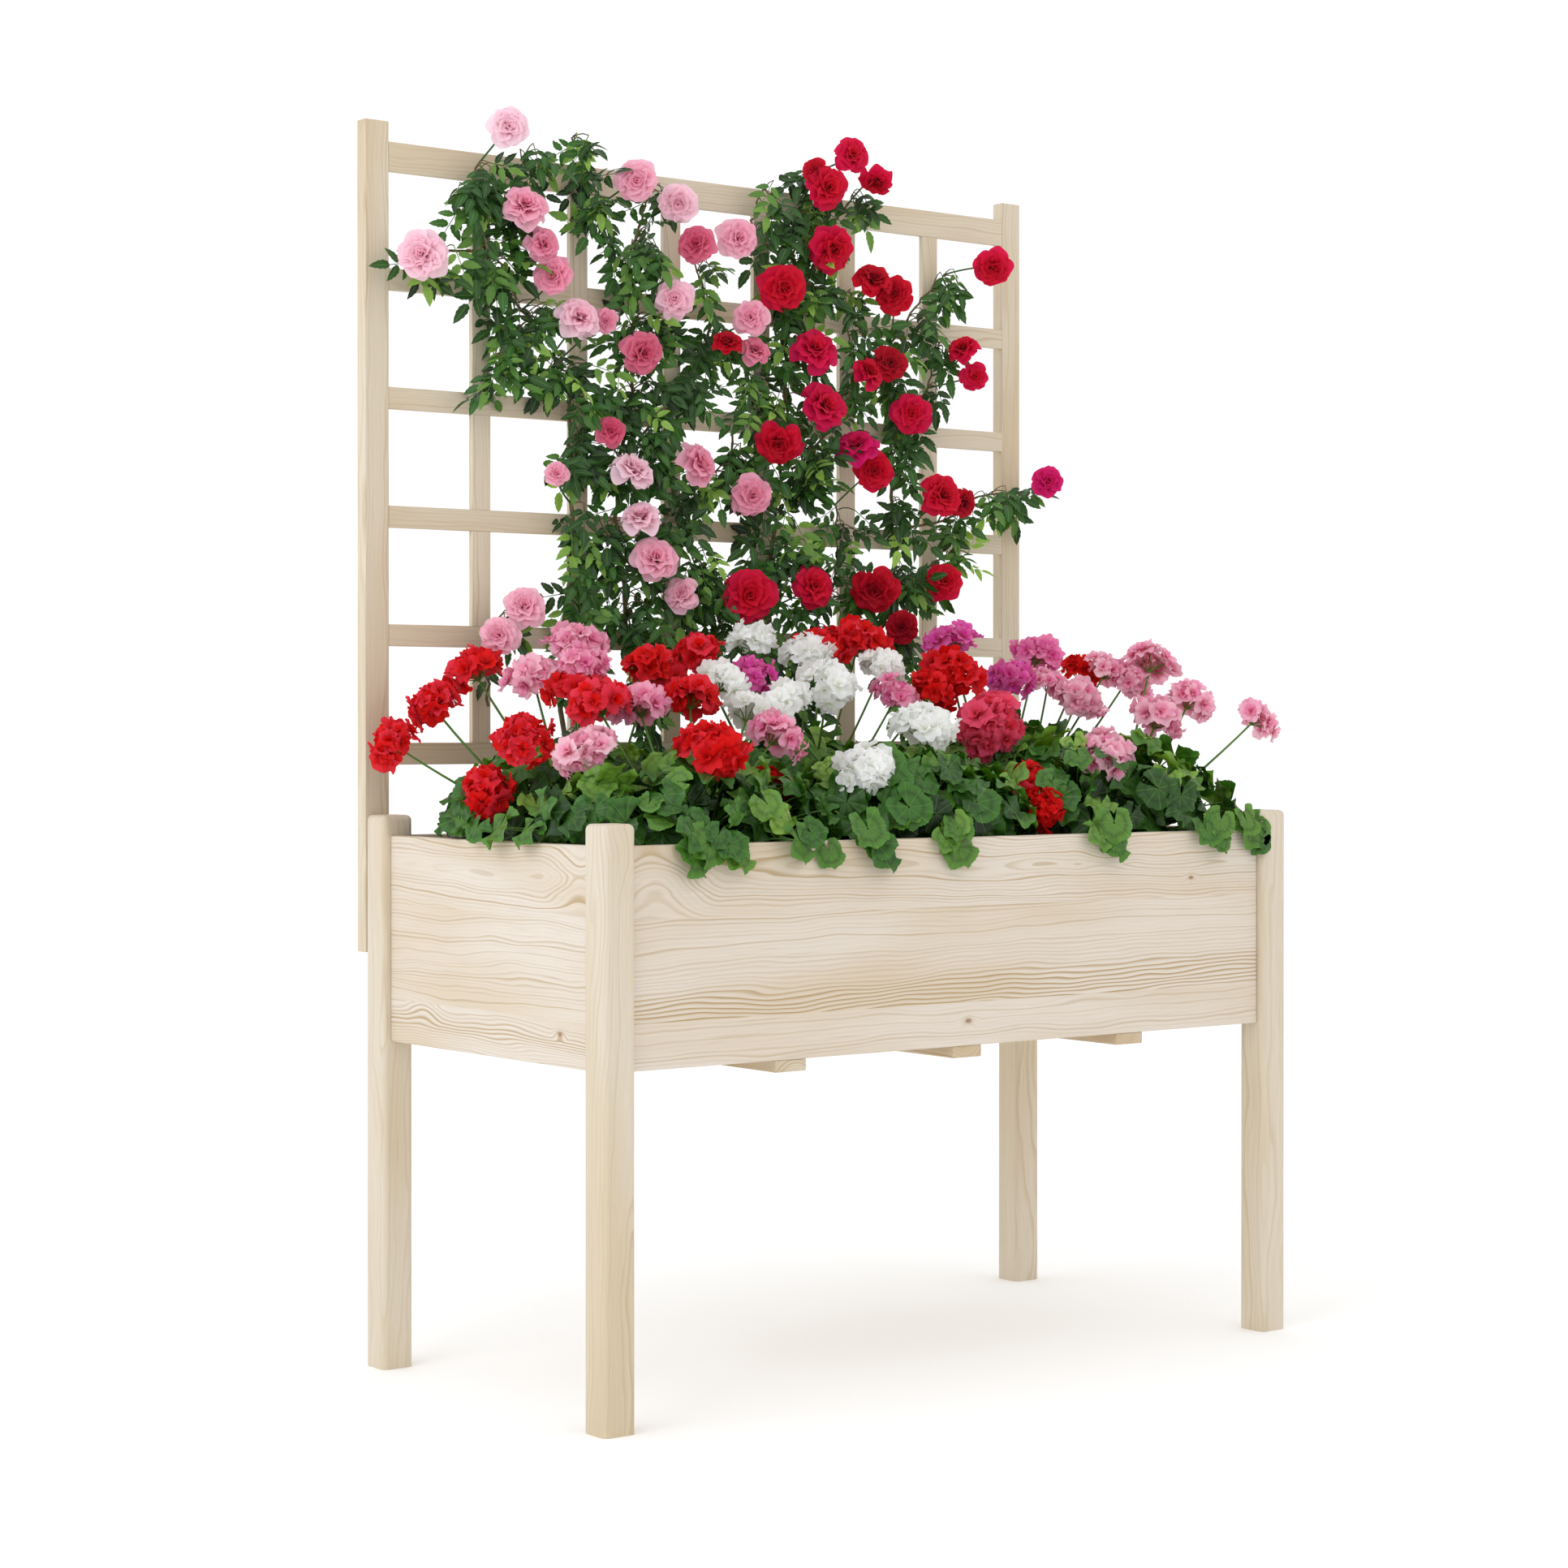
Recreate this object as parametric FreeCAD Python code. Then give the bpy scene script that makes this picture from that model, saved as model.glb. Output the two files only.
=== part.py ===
# Raised garden planter: an open box of glued-up softwood boards between four square legs,
# a slatted floor on three bearers, a fabric liner full of potting soil, a lattice trellis
# screwed to the back legs, and the geraniums and climbing roses that it carries.
#
# Frame: +X to the right along the length, +Y to the back, +Z up, millimetres.
# Origin: on the ground, in the middle of the footprint of the legs and trellis posts.

import FreeCAD
import Part
import math
import os

# ---- Overall sizes ----
LENGTH = 1205.0  # over the legs, left to right
DEPTH = 585.0  # over the legs, front to back; the trellis posts stand behind it
LEG_HEIGHT = 760.0

# ---- Legs ----
LEG_WIDTH = 48.0
LEG_ROUND = 8.0  # on the long edges and round the top

# ---- Walls of the box, each glued up from three staves ----
LEG_ABOVE_WALL = 28.0
STAVE_HEIGHTS = {"bottom": 59.0, "middle": 130.0, "top": 93.0}
WALL_THICKNESS = 18.0
WALL_INSET = 12.0  # from the legs' outer faces to the walls' outer faces
WALL_ROUND = 2.0

# ---- Bearers and floor ----
BEARER_COUNT = 3
BEARER_WIDTH = 50.0
BEARER_THICKNESS = 16.0
BEARER_SETBACK = 2.0  # from the walls' outer faces to the bearers' ends
BEARER_ROUND = 1.5
FLOOR_SLATS = 6
FLOOR_THICKNESS = 12.0
DRAIN_GAP = 7.0
FLOOR_CLEARANCE = 1.0  # round the floor, to the walls and the legs

# ---- Liner and soil ----
LINER_THICKNESS = 1.2
LINER_BELOW_RIM = 5.0
SOIL_BELOW_RIM = 30.0

# ---- Trellis ----
POST_WIDTH = 38.0
POST_DEPTH = 22.0
POST_ROUND = 1.5
POST_RISE = 960.0  # above the tops of the legs
POST_OVERLAP = 190.0  # down behind the back legs
TOP_RAIL_DROP = 28.0  # below the tops of the posts
TOP_RAIL_HEIGHT = 41.0
LATH_WIDTH = 30.5  # the lower rails and the laths
LATH_THICKNESS = 9.0  # every rail and lath
LATH_ROUND = 1.0
LATH_COUNT = 6
LOWER_RAILS = 5
BAY_HEIGHT = 134.0
LATH_BELOW_TOP = 8.0  # the laths stop this far under the top rail's upper edge
LATHS_IN_FRONT_AT = (2,)  # at every other rail, the rail passes in front
LAP_CLEARANCE = 0.1
TENON_LENGTH = 10.0
TENON_SHOULDER = 5.0  # above and below a tenon
TENON_CLEARANCE = 0.1

# ---- Dowels and pocket screws, one of each in every stave end ----
DOWEL_DIAMETER = 8.0
DOWEL_LENGTH = 40.0
DOWEL_DROP = 12.0  # below the middle of the stave
DOWEL_END_GAP = 1.0
POCKET_ANGLE = 15.0  # degrees from the length of the wall
POCKET_RISE = 12.0  # above the middle of the stave
POCKET_DIAMETER = 8.0
POCKET_REACH = 40.0
POCKET_SETBACK = 18.0  # from the head's seat to the wall's end
POCKET_SCREW_BITE = 26.0  # into the leg
POCKET_HEAD_DIAMETER = 7.0
POCKET_HEAD_HEIGHT = 3.0

# ---- Other screws, nails, brads and staples ----
SCREW_DIAMETER = 4.0
SCREW_HEAD_DIAMETER = 8.0
SCREW_HEAD_HEIGHT = 3.0
BEARER_SCREW_LENGTH = 50.0
BEARER_SCREW_SPREAD = 24.0
TRELLIS_SCREW_LENGTH = 50.0
TRELLIS_SCREW_DROPS = (45.0, 150.0)  # below the tops of the legs
NAIL_DIAMETER = 2.0
NAIL_HEAD_DIAMETER = 4.5
NAIL_HEAD_HEIGHT = 1.0
NAIL_LENGTH = 25.0
NAIL_SPREAD = 44.0
BRAD_DIAMETER = 1.4
BRAD_HEAD_DIAMETER = 2.6
BRAD_HEAD_HEIGHT = 0.6
BRAD_LENGTH = 8.0
STAPLE_WIRE = 1.0
STAPLE_CROWN = 10.0
STAPLE_LEG = 8.0
STAPLE_BELOW_LINER_TOP = 8.0
STAPLES_LONG_WALL = 6
STAPLES_SHORT_WALL = 3

# ---- Planting ----
GERANIUM_HEIGHT = 215.0  # above the soil
GERANIUM_GAP = 4.0  # between neighbouring plants
GERANIUM_BASE_SHARE = 0.7  # a plant's foot and crown, as a share of its widest part
GERANIUM_CROWN_SHARE = 0.6
GERANIUM_WAIST = 90.0  # height of the widest part above the soil
GERANIUM_COLUMNS = ("left", "centre", "right")
GERANIUM_ROWS = ("front", "back")
ROSE_DEPTH = 50.0
ROSE_GAP = 2.5  # to the liner, the trellis and the geraniums
ROSE_ABOVE_RIM = 10.0  # a rose stands upright to here, and then leans back to the trellis
ROSE_TOP_DROP = 10.0  # below the tops of the posts
# Each climbing rose as a leaning column: its middle, in bays from the left post, and its width,
# at the soil, over the rim, at the lowest rail, half way up the lattice, and at the top.
ROSES = {
    "climbing_rose_pink_left": ((2.1, 60), (2.1, 60), (2.1, 70), (1.95, 90), (0.95, 160)),
    "climbing_rose_pink_right": ((2.8, 60), (2.8, 80), (2.8, 120), (2.75, 160), (2.4, 160)),
    "climbing_rose_red_left": ((4.4, 60), (4.4, 120), (4.4, 190), (4.45, 200), (4.5, 180)),
    "climbing_rose_red_right": ((5.8, 60), (5.8, 70), (5.8, 100), (5.8, 110), (6.0, 100)),
}

# ---- Places that follow from the sizes ----
X_OUT = LENGTH / 2
Y_FRONT = -(DEPTH + POST_DEPTH) / 2
Y_BACK = Y_FRONT + DEPTH
X_WALL_END = X_OUT - LEG_WIDTH
Y_WALL_START = Y_FRONT + LEG_WIDTH
Y_WALL_END = Y_BACK - LEG_WIDTH
WALL_TOP = LEG_HEIGHT - LEG_ABOVE_WALL
WALL_BOTTOM = WALL_TOP - sum(STAVE_HEIGHTS.values())
X_INNER = X_OUT - WALL_INSET - WALL_THICKNESS
Y_INNER_FRONT = Y_FRONT + WALL_INSET + WALL_THICKNESS
Y_INNER_BACK = Y_BACK - WALL_INSET - WALL_THICKNESS
FLOOR_TOP = WALL_BOTTOM + FLOOR_THICKNESS
LINER_TOP = WALL_TOP - LINER_BELOW_RIM
SOIL_TOP = WALL_TOP - SOIL_BELOW_RIM
POST_TOP = LEG_HEIGHT + POST_RISE
POST_BOTTOM = LEG_HEIGHT - POST_OVERLAP
TOP_RAIL_TOP = POST_TOP - TOP_RAIL_DROP
TOP_RAIL_BOTTOM = TOP_RAIL_TOP - TOP_RAIL_HEIGHT
RAIL_END = X_OUT - POST_WIDTH
BAY_WIDTH = (2 * RAIL_END - LATH_COUNT * LATH_WIDTH) / (LATH_COUNT + 1)
LATTICE_MIDDLE = Y_BACK + LATH_THICKNESS / 2
LATTICE_BACK = Y_BACK + LATH_THICKNESS
PAST = 1.0  # how far a cutting block runs past the face it opens

UP = FreeCAD.Vector(0, 0, 1)
FORWARD = FreeCAD.Vector(0, -1, 0)


# ---- Small helpers ----
def block(x_range, y_range, z_range):
    """A box between the given limits."""
    low = FreeCAD.Vector(x_range[0], y_range[0], z_range[0])
    sizes = [limits[1] - limits[0] for limits in (x_range, y_range, z_range)]
    return Part.makeBox(*sizes, low)


def rounded_block(x_range, y_range, z_range, radius):
    """A box with every edge rounded."""
    solid = block(x_range, y_range, z_range)
    return solid.makeFillet(radius, solid.Edges)


def edges_along(solid, axis):
    """The straight edges of a box that run along one axis, 0 for X, 1 for Y, 2 for Z."""
    found = []
    for edge in solid.Edges:
        run = edge.Vertexes[-1].Point - edge.Vertexes[0].Point
        if abs(abs(run[axis]) - run.Length) < 1e-6:
            found.append(edge)
    return found


def around(middle, width):
    """Limits of the given width about a middle."""
    return (middle - width / 2, middle + width / 2)


def rod(start, direction, length, diameter):
    """A round bar from a point along a direction."""
    return Part.makeCylinder(diameter / 2, length, start, direction)


def single(shape):
    """The one solid in the result of a cut or a fuse."""
    solids = shape.Solids
    if len(solids) != 1:
        raise ValueError("a piece came apart into %d solids" % len(solids))
    return solids[0]


def cut_near(solid, cutters):
    """The solid less every cutter whose box meets its own."""
    near = [cutter for cutter in cutters if cutter.BoundBox.intersect(solid.BoundBox)]
    return single(solid.cut(near)) if near else solid


# ---- Fixings: each maker gives the solids and the holes that they need ----
def flat_head_screw(head_face, direction, length):
    """A countersunk screw whose head is flush with the face that it enters."""
    cone = Part.makeCone(
        SCREW_HEAD_DIAMETER / 2, SCREW_DIAMETER / 2, SCREW_HEAD_HEIGHT, head_face, direction
    )
    return single(cone.fuse(rod(head_face, direction, length, SCREW_DIAMETER)))


def headed_pin(head_face, direction, length, diameter, head_diameter, head_height):
    """A nail or brad with its flat head sunk flush."""
    head = rod(head_face, direction, head_height, head_diameter)
    return single(head.fuse(rod(head_face, direction, length, diameter)))


def wall_ends():
    """For each wall end: the middle of its thickness, the way into the leg, the way outward."""
    y_front_wall = Y_FRONT + WALL_INSET + WALL_THICKNESS / 2
    y_back_wall = Y_BACK - WALL_INSET - WALL_THICKNESS / 2
    x_side_wall = X_OUT - WALL_INSET - WALL_THICKNESS / 2
    ends = []
    for side in (-1, 1):
        into_leg = FreeCAD.Vector(side, 0, 0)
        for y_wall, outward in ((y_front_wall, -1), (y_back_wall, 1)):
            place = FreeCAD.Vector(side * X_WALL_END, y_wall, 0)
            ends.append((place, into_leg, FreeCAD.Vector(0, outward, 0)))
        outward = FreeCAD.Vector(side, 0, 0)
        for y_end, way in ((Y_WALL_START, -1), (Y_WALL_END, 1)):
            place = FreeCAD.Vector(side * x_side_wall, y_end, 0)
            ends.append((place, FreeCAD.Vector(0, way, 0), outward))
    return ends


def stave_ranges():
    """The lower and upper limit of each stave, from the bottom up."""
    ranges = {}
    low = WALL_BOTTOM
    for name, height in STAVE_HEIGHTS.items():
        ranges[name] = (low, low + height)
        low += height
    return ranges


def panel_dowels():
    """The dowels between staves and legs, and their slightly deeper holes."""
    dowels, holes = [], []
    for place, into_leg, _ in wall_ends():
        for low, high in stave_ranges().values():
            middle = place + UP * ((low + high) / 2 - DOWEL_DROP)
            start = middle - into_leg * (DOWEL_LENGTH / 2)
            dowels.append(rod(start, into_leg, DOWEL_LENGTH, DOWEL_DIAMETER))
            hole_start = start - into_leg * DOWEL_END_GAP
            hole_length = DOWEL_LENGTH + 2 * DOWEL_END_GAP
            holes.append(rod(hole_start, into_leg, hole_length, DOWEL_DIAMETER))
    return dowels, holes


def pocket_screws():
    """Slanting screws from pockets in the walls' inner faces into the legs."""
    screws, holes = [], []
    angle = math.radians(POCKET_ANGLE)
    for place, into_leg, outward in wall_ends():
        way = into_leg * math.cos(angle) + outward * math.sin(angle)
        for low, high in stave_ranges().values():
            crossing = place + UP * ((low + high) / 2 + POCKET_RISE)
            seat = crossing - way * POCKET_SETBACK
            length = POCKET_SETBACK + POCKET_SCREW_BITE
            shank = rod(seat, way, length, SCREW_DIAMETER)
            head = rod(seat - way * POCKET_HEAD_HEIGHT, way, POCKET_HEAD_HEIGHT, POCKET_HEAD_DIAMETER)
            screws.append(single(head.fuse(shank)))
            pocket = rod(seat - way * POCKET_REACH, way, POCKET_REACH, POCKET_DIAMETER)
            holes.append(pocket.fuse(shank))
    return screws, holes


def bearer_middles():
    """The X of each bearer's middle, equally spaced along the length."""
    pitch = LENGTH / (BEARER_COUNT + 1)
    return [-X_OUT + pitch * (number + 1) for number in range(BEARER_COUNT)]


def bearer_screws():
    """Screws up through the bearers into the lower edges of the front and back walls."""
    screws = []
    for x_bearer in bearer_middles():
        for y_wall in (Y_INNER_FRONT - WALL_THICKNESS / 2, Y_INNER_BACK + WALL_THICKNESS / 2):
            for side in (-1, 1):
                x_screw = x_bearer + side * BEARER_SCREW_SPREAD / 2
                face = FreeCAD.Vector(x_screw, y_wall, WALL_BOTTOM - BEARER_THICKNESS)
                screws.append(flat_head_screw(face, UP, BEARER_SCREW_LENGTH))
    return screws


def floor_slat_ranges():
    """The Y limits of each floor slat, from front to back."""
    room = Y_INNER_BACK - Y_INNER_FRONT - 2 * FLOOR_CLEARANCE
    width = (room - (FLOOR_SLATS - 1) * DRAIN_GAP) / FLOOR_SLATS
    first = Y_INNER_FRONT + FLOOR_CLEARANCE
    starts = [first + number * (width + DRAIN_GAP) for number in range(FLOOR_SLATS)]
    return [(start, start + width) for start in starts]


def floor_nails():
    """Two nails down through every floor slat into every bearer."""
    nails = []
    for low, high in floor_slat_ranges():
        for x_bearer in bearer_middles():
            for side in (-1, 1):
                y_nail = (low + high) / 2 + side * NAIL_SPREAD / 2
                face = FreeCAD.Vector(x_bearer, y_nail, FLOOR_TOP)
                nails.append(
                    headed_pin(face, -UP, NAIL_LENGTH, NAIL_DIAMETER, NAIL_HEAD_DIAMETER, NAIL_HEAD_HEIGHT)
                )
    return nails


def trellis_screws():
    """Screws from behind, through the posts and into the back legs."""
    screws = []
    for side in (-1, 1):
        for drop in TRELLIS_SCREW_DROPS:
            x_post = side * (X_OUT - POST_WIDTH / 2)
            face = FreeCAD.Vector(x_post, Y_BACK + POST_DEPTH, LEG_HEIGHT - drop)
            screws.append(flat_head_screw(face, FORWARD, TRELLIS_SCREW_LENGTH))
    return screws


def liner_staples():
    """Staples that hold the liner's upper edge to the walls, and the holes for their legs."""
    face_gap = LINER_THICKNESS
    z_staple = LINER_TOP - STAPLE_BELOW_LINER_TOP
    staples = []
    for number in range(STAPLES_LONG_WALL):
        x_staple = X_WALL_END * (2 * (number + 0.5) / STAPLES_LONG_WALL - 1)
        staples.append(staple(FreeCAD.Vector(x_staple, Y_INNER_FRONT + face_gap, z_staple), FORWARD))
        staples.append(staple(FreeCAD.Vector(x_staple, Y_INNER_BACK - face_gap, z_staple), -FORWARD))
    y_middle, y_half = (Y_WALL_START + Y_WALL_END) / 2, (Y_WALL_END - Y_WALL_START) / 2
    for number in range(STAPLES_SHORT_WALL):
        y_staple = y_middle + y_half * (2 * (number + 0.5) / STAPLES_SHORT_WALL - 1)
        for side in (-1, 1):
            face = FreeCAD.Vector(side * (X_INNER - face_gap), y_staple, z_staple)
            staples.append(staple(face, FreeCAD.Vector(side, 0, 0)))
    return staples


def staple(face, into_wall):
    """A staple whose crown lies on a face, with two square legs driven into it."""
    along = into_wall.cross(UP)
    crown_start = face - into_wall * STAPLE_WIRE
    crown = bar(crown_start, along, STAPLE_CROWN, into_wall, STAPLE_WIRE)
    wires = [crown]
    for side in (-1, 1):
        foot = face + along * (side * (STAPLE_CROWN - STAPLE_WIRE) / 2)
        wires.append(bar(foot, along, STAPLE_WIRE, into_wall, STAPLE_LEG))
    return single(wires[0].multiFuse(wires[1:]))


def bar(start, along, width, way, length):
    """A bar of the staple's wire height, with its width centred on the start."""
    corners = [start + along * (end * width / 2) for end in (-1, 1)]
    half = UP * (STAPLE_WIRE / 2)
    outline = [corners[0] - half, corners[1] - half, corners[1] + half, corners[0] + half]
    face = Part.Face(Part.makePolygon(outline + outline[:1]))
    return face.extrude(way * length)


# ---- Frame of the box ----
def make_legs(holes):
    """Four square legs with rounded long edges and tops."""
    legs = {}
    for x_name, x_side in (("left", -1), ("right", 1)):
        for y_name, y_outer, y_way in (("front", Y_FRONT, 1), ("back", Y_BACK, -1)):
            x_range = sorted((x_side * X_OUT, x_side * X_WALL_END))
            y_range = sorted((y_outer, y_outer + y_way * LEG_WIDTH))
            leg = block(x_range, y_range, (0, LEG_HEIGHT))
            top = [e for e in leg.Edges if min(v.Z for v in e.Vertexes) > LEG_HEIGHT / 2]
            leg = leg.makeFillet(LEG_ROUND, edges_along(leg, 2) + top)
            legs["leg_%s_%s" % (y_name, x_name)] = cut_near(leg, holes)
    return legs


def make_walls(holes):
    """Four walls, each a rounded panel sawn into its three glued staves."""
    panels = {
        "front": ((-X_WALL_END, X_WALL_END), (Y_INNER_FRONT - WALL_THICKNESS, Y_INNER_FRONT)),
        "back": ((-X_WALL_END, X_WALL_END), (Y_INNER_BACK, Y_INNER_BACK + WALL_THICKNESS)),
        "left": ((-X_INNER - WALL_THICKNESS, -X_INNER), (Y_WALL_START, Y_WALL_END)),
        "right": ((X_INNER, X_INNER + WALL_THICKNESS), (Y_WALL_START, Y_WALL_END)),
    }
    staves = {}
    for side, (x_range, y_range) in panels.items():
        panel = rounded_block(x_range, y_range, (WALL_BOTTOM, WALL_TOP), WALL_ROUND)
        for level, z_range in stave_ranges().items():
            stave = single(panel.common(block(x_range, y_range, z_range)))
            staves["%s_wall_%s_stave" % (side, level)] = cut_near(stave, holes)
    return staves


def make_bearers(holes):
    """The bearers that run from front to back under the walls and the floor."""
    y_range = (
        Y_FRONT + WALL_INSET + BEARER_SETBACK,
        Y_BACK - WALL_INSET - BEARER_SETBACK,
    )
    z_range = (WALL_BOTTOM - BEARER_THICKNESS, WALL_BOTTOM)
    bearers = {}
    for number, x_bearer in enumerate(bearer_middles(), start=1):
        bearer = rounded_block(around(x_bearer, BEARER_WIDTH), y_range, z_range, BEARER_ROUND)
        bearers["floor_bearer_%d" % number] = cut_near(bearer, holes)
    return bearers


def make_floor(holes):
    """Floor slats along the box, with drain gaps, notched round the legs."""
    x_end = X_INNER - FLOOR_CLEARANCE
    notch_half = X_WALL_END - FLOOR_CLEARANCE
    z_range = (WALL_BOTTOM, FLOOR_TOP)
    z_past = (WALL_BOTTOM - PAST, FLOOR_TOP + PAST)
    notches = []
    for side in (-1, 1):
        x_notch = sorted((side * notch_half, side * X_OUT))
        notches.append(block(x_notch, (Y_FRONT, Y_WALL_START + FLOOR_CLEARANCE), z_past))
        notches.append(block(x_notch, (Y_WALL_END - FLOOR_CLEARANCE, Y_BACK), z_past))
    slats = {}
    for number, y_range in enumerate(floor_slat_ranges(), start=1):
        slat = block((-x_end, x_end), y_range, z_range)
        slats["floor_slat_%d" % number] = cut_near(slat, holes + notches)
    return slats


# ---- Liner and soil ----
def inside_of_box(offset, z_range):
    """The room between the walls, notched round the legs and shrunk by an offset."""
    room = block(
        (-X_INNER + offset, X_INNER - offset),
        (Y_INNER_FRONT + offset, Y_INNER_BACK - offset),
        z_range,
    )
    corners = []
    for side in (-1, 1):
        x_corner = sorted((side * (X_WALL_END - offset), side * X_OUT))
        corners.append(block(x_corner, (Y_FRONT, Y_WALL_START + offset), z_range))
        corners.append(block(x_corner, (Y_WALL_END - offset, Y_BACK), z_range))
    return single(room.cut(corners))


def make_liner_and_soil(staples):
    """The open-topped fabric liner on the floor, and the soil that fills it."""
    outside = inside_of_box(0, (FLOOR_TOP, LINER_TOP))
    hollow = inside_of_box(LINER_THICKNESS, (FLOOR_TOP + LINER_THICKNESS, LINER_TOP + PAST))
    liner = cut_near(single(outside.cut(hollow)), staples)
    soil = inside_of_box(LINER_THICKNESS, (FLOOR_TOP + LINER_THICKNESS, SOIL_TOP))
    return {"liner": liner, "potting_soil": soil}


# ---- Trellis ----
def rail_ranges():
    """The Z limits of each rail, number 1 at the top."""
    ranges = [(TOP_RAIL_BOTTOM, TOP_RAIL_TOP)]
    for _ in range(LOWER_RAILS):
        top = ranges[-1][0] - BAY_HEIGHT
        ranges.append((top - LATH_WIDTH, top))
    return ranges


def lath_ranges():
    """The X limits of each upright lath, from left to right."""
    starts = [
        -RAIL_END + BAY_WIDTH + number * (BAY_WIDTH + LATH_WIDTH) for number in range(LATH_COUNT)
    ]
    return [(start, start + LATH_WIDTH) for start in starts]


def lath_height_range():
    """The Z limits of the upright laths, from the lowest rail into the top rail."""
    return (rail_ranges()[-1][0], TOP_RAIL_TOP - LATH_BELOW_TOP)


def grown(limits, amount):
    """Limits moved apart by an amount at each end."""
    return (limits[0] - amount, limits[1] + amount)


def lattice_halves(front_piece):
    """The Y limits that a lap takes out of a piece that passes in front, or behind."""
    if front_piece:
        return (LATTICE_MIDDLE, LATTICE_BACK + PAST)
    return (Y_BACK - PAST, LATTICE_MIDDLE)


def lattice_brads():
    """A brad from behind through every crossing of a rail and a lath."""
    brads = []
    lath_bottom, lath_top = lath_height_range()
    for low, high in rail_ranges():
        z_brad = (max(low, lath_bottom) + min(high, lath_top)) / 2
        for left, right in lath_ranges():
            face = FreeCAD.Vector((left + right) / 2, LATTICE_BACK, z_brad)
            brads.append(
                headed_pin(face, FORWARD, BRAD_LENGTH, BRAD_DIAMETER, BRAD_HEAD_DIAMETER, BRAD_HEAD_HEIGHT)
            )
    return brads


def rail_tenons(z_range, clearance):
    """The two stub tenons of a rail, on the back half of its thickness."""
    y_range = grown((LATTICE_MIDDLE, LATTICE_BACK), clearance)
    z_tenon = grown(z_range, clearance - TENON_SHOULDER)
    tenons = []
    for side in (-1, 1):
        x_tenon = sorted((side * (RAIL_END - PAST), side * (RAIL_END + TENON_LENGTH + clearance)))
        tenons.append(block(x_tenon, y_range, z_tenon))
    return tenons


def make_rails(holes):
    """The trellis rails, halved over the laths and tenoned into the posts."""
    rails = {}
    for number, z_range in enumerate(rail_ranges(), start=1):
        rail = block((-RAIL_END, RAIL_END), (Y_BACK, LATTICE_BACK), z_range)
        rail = rail.makeFillet(LATH_ROUND, edges_along(rail, 0))
        rail = single(rail.multiFuse(rail_tenons(z_range, 0)))
        lap = lattice_halves(number not in LATHS_IN_FRONT_AT)
        z_lath = grown(lath_height_range(), LAP_CLEARANCE)
        laps = [block(grown(x_range, LAP_CLEARANCE), lap, z_lath) for x_range in lath_ranges()]
        name = "trellis_top_rail" if number == 1 else "trellis_rail_%d" % number
        rails[name] = cut_near(rail, laps + holes)
    return rails


def make_laths(holes):
    """The upright laths of the trellis, halved over the rails."""
    laps = []
    for number, z_range in enumerate(rail_ranges(), start=1):
        lap = lattice_halves(number in LATHS_IN_FRONT_AT)
        laps.append(block((-X_OUT, X_OUT), lap, grown(z_range, LAP_CLEARANCE)))
    laths = {}
    for number, x_range in enumerate(lath_ranges(), start=1):
        lath = block(x_range, (Y_BACK, LATTICE_BACK), lath_height_range())
        lath = lath.makeFillet(LATH_ROUND, edges_along(lath, 2))
        laths["trellis_lath_%d" % number] = cut_near(lath, laps + holes)
    return laths


def make_posts(holes):
    """The two trellis posts, flush with the outer sides of the back legs, with rail mortises."""
    mortises = []
    for z_range in rail_ranges():
        mortises += rail_tenons(z_range, TENON_CLEARANCE)
    posts = {}
    for name, side in (("left", -1), ("right", 1)):
        x_range = sorted((side * X_OUT, side * RAIL_END))
        y_range = (Y_BACK, Y_BACK + POST_DEPTH)
        post = rounded_block(x_range, y_range, (POST_BOTTOM, POST_TOP), POST_ROUND)
        posts["trellis_post_%s" % name] = cut_near(post, mortises + holes)
    return posts


# ---- Planting ----
def level_outline(x_range, y_range, height, share):
    """A closed rectangle at a height, shrunk about its middle to a share of the limits."""
    x_middle, y_middle = sum(x_range) / 2, sum(y_range) / 2
    x_half = (x_range[1] - x_range[0]) / 2 * share
    y_half = (y_range[1] - y_range[0]) / 2 * share
    corners = [(-1, -1), (1, -1), (1, 1), (-1, 1), (-1, -1)]
    return Part.makePolygon(
        [FreeCAD.Vector(x_middle + x * x_half, y_middle + y * y_half, height) for x, y in corners]
    )


def rose_y_range(against):
    """The Y limits of a rose that leans against a face."""
    return (against - ROSE_GAP - ROSE_DEPTH, against - ROSE_GAP)


def make_geraniums():
    """Geranium plants as plain mounds, in two rows over the soil in front of the roses."""
    x_end = X_WALL_END - LINER_THICKNESS
    y_start = Y_INNER_FRONT + LINER_THICKNESS
    y_end = rose_y_range(Y_INNER_BACK - LINER_THICKNESS)[0] - ROSE_GAP
    width = 2 * x_end / len(GERANIUM_COLUMNS)
    depth = (y_end - y_start) / len(GERANIUM_ROWS)
    levels = ((0, GERANIUM_BASE_SHARE), (GERANIUM_WAIST, 1.0), (GERANIUM_HEIGHT, GERANIUM_CROWN_SHARE))
    plants = {}
    for row, row_name in enumerate(GERANIUM_ROWS):
        for column, column_name in enumerate(GERANIUM_COLUMNS):
            x_start = -x_end + column * width
            x_range = grown((x_start, x_start + width), -GERANIUM_GAP / 2)
            y_low = y_start + row * depth
            y_range = grown((y_low, y_low + depth), -GERANIUM_GAP / 2)
            outlines = [
                level_outline(x_range, y_range, SOIL_TOP + height, share) for height, share in levels
            ]
            plants["geranium_%s_%s" % (row_name, column_name)] = Part.makeLoft(outlines, True, True)
    return plants


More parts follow.
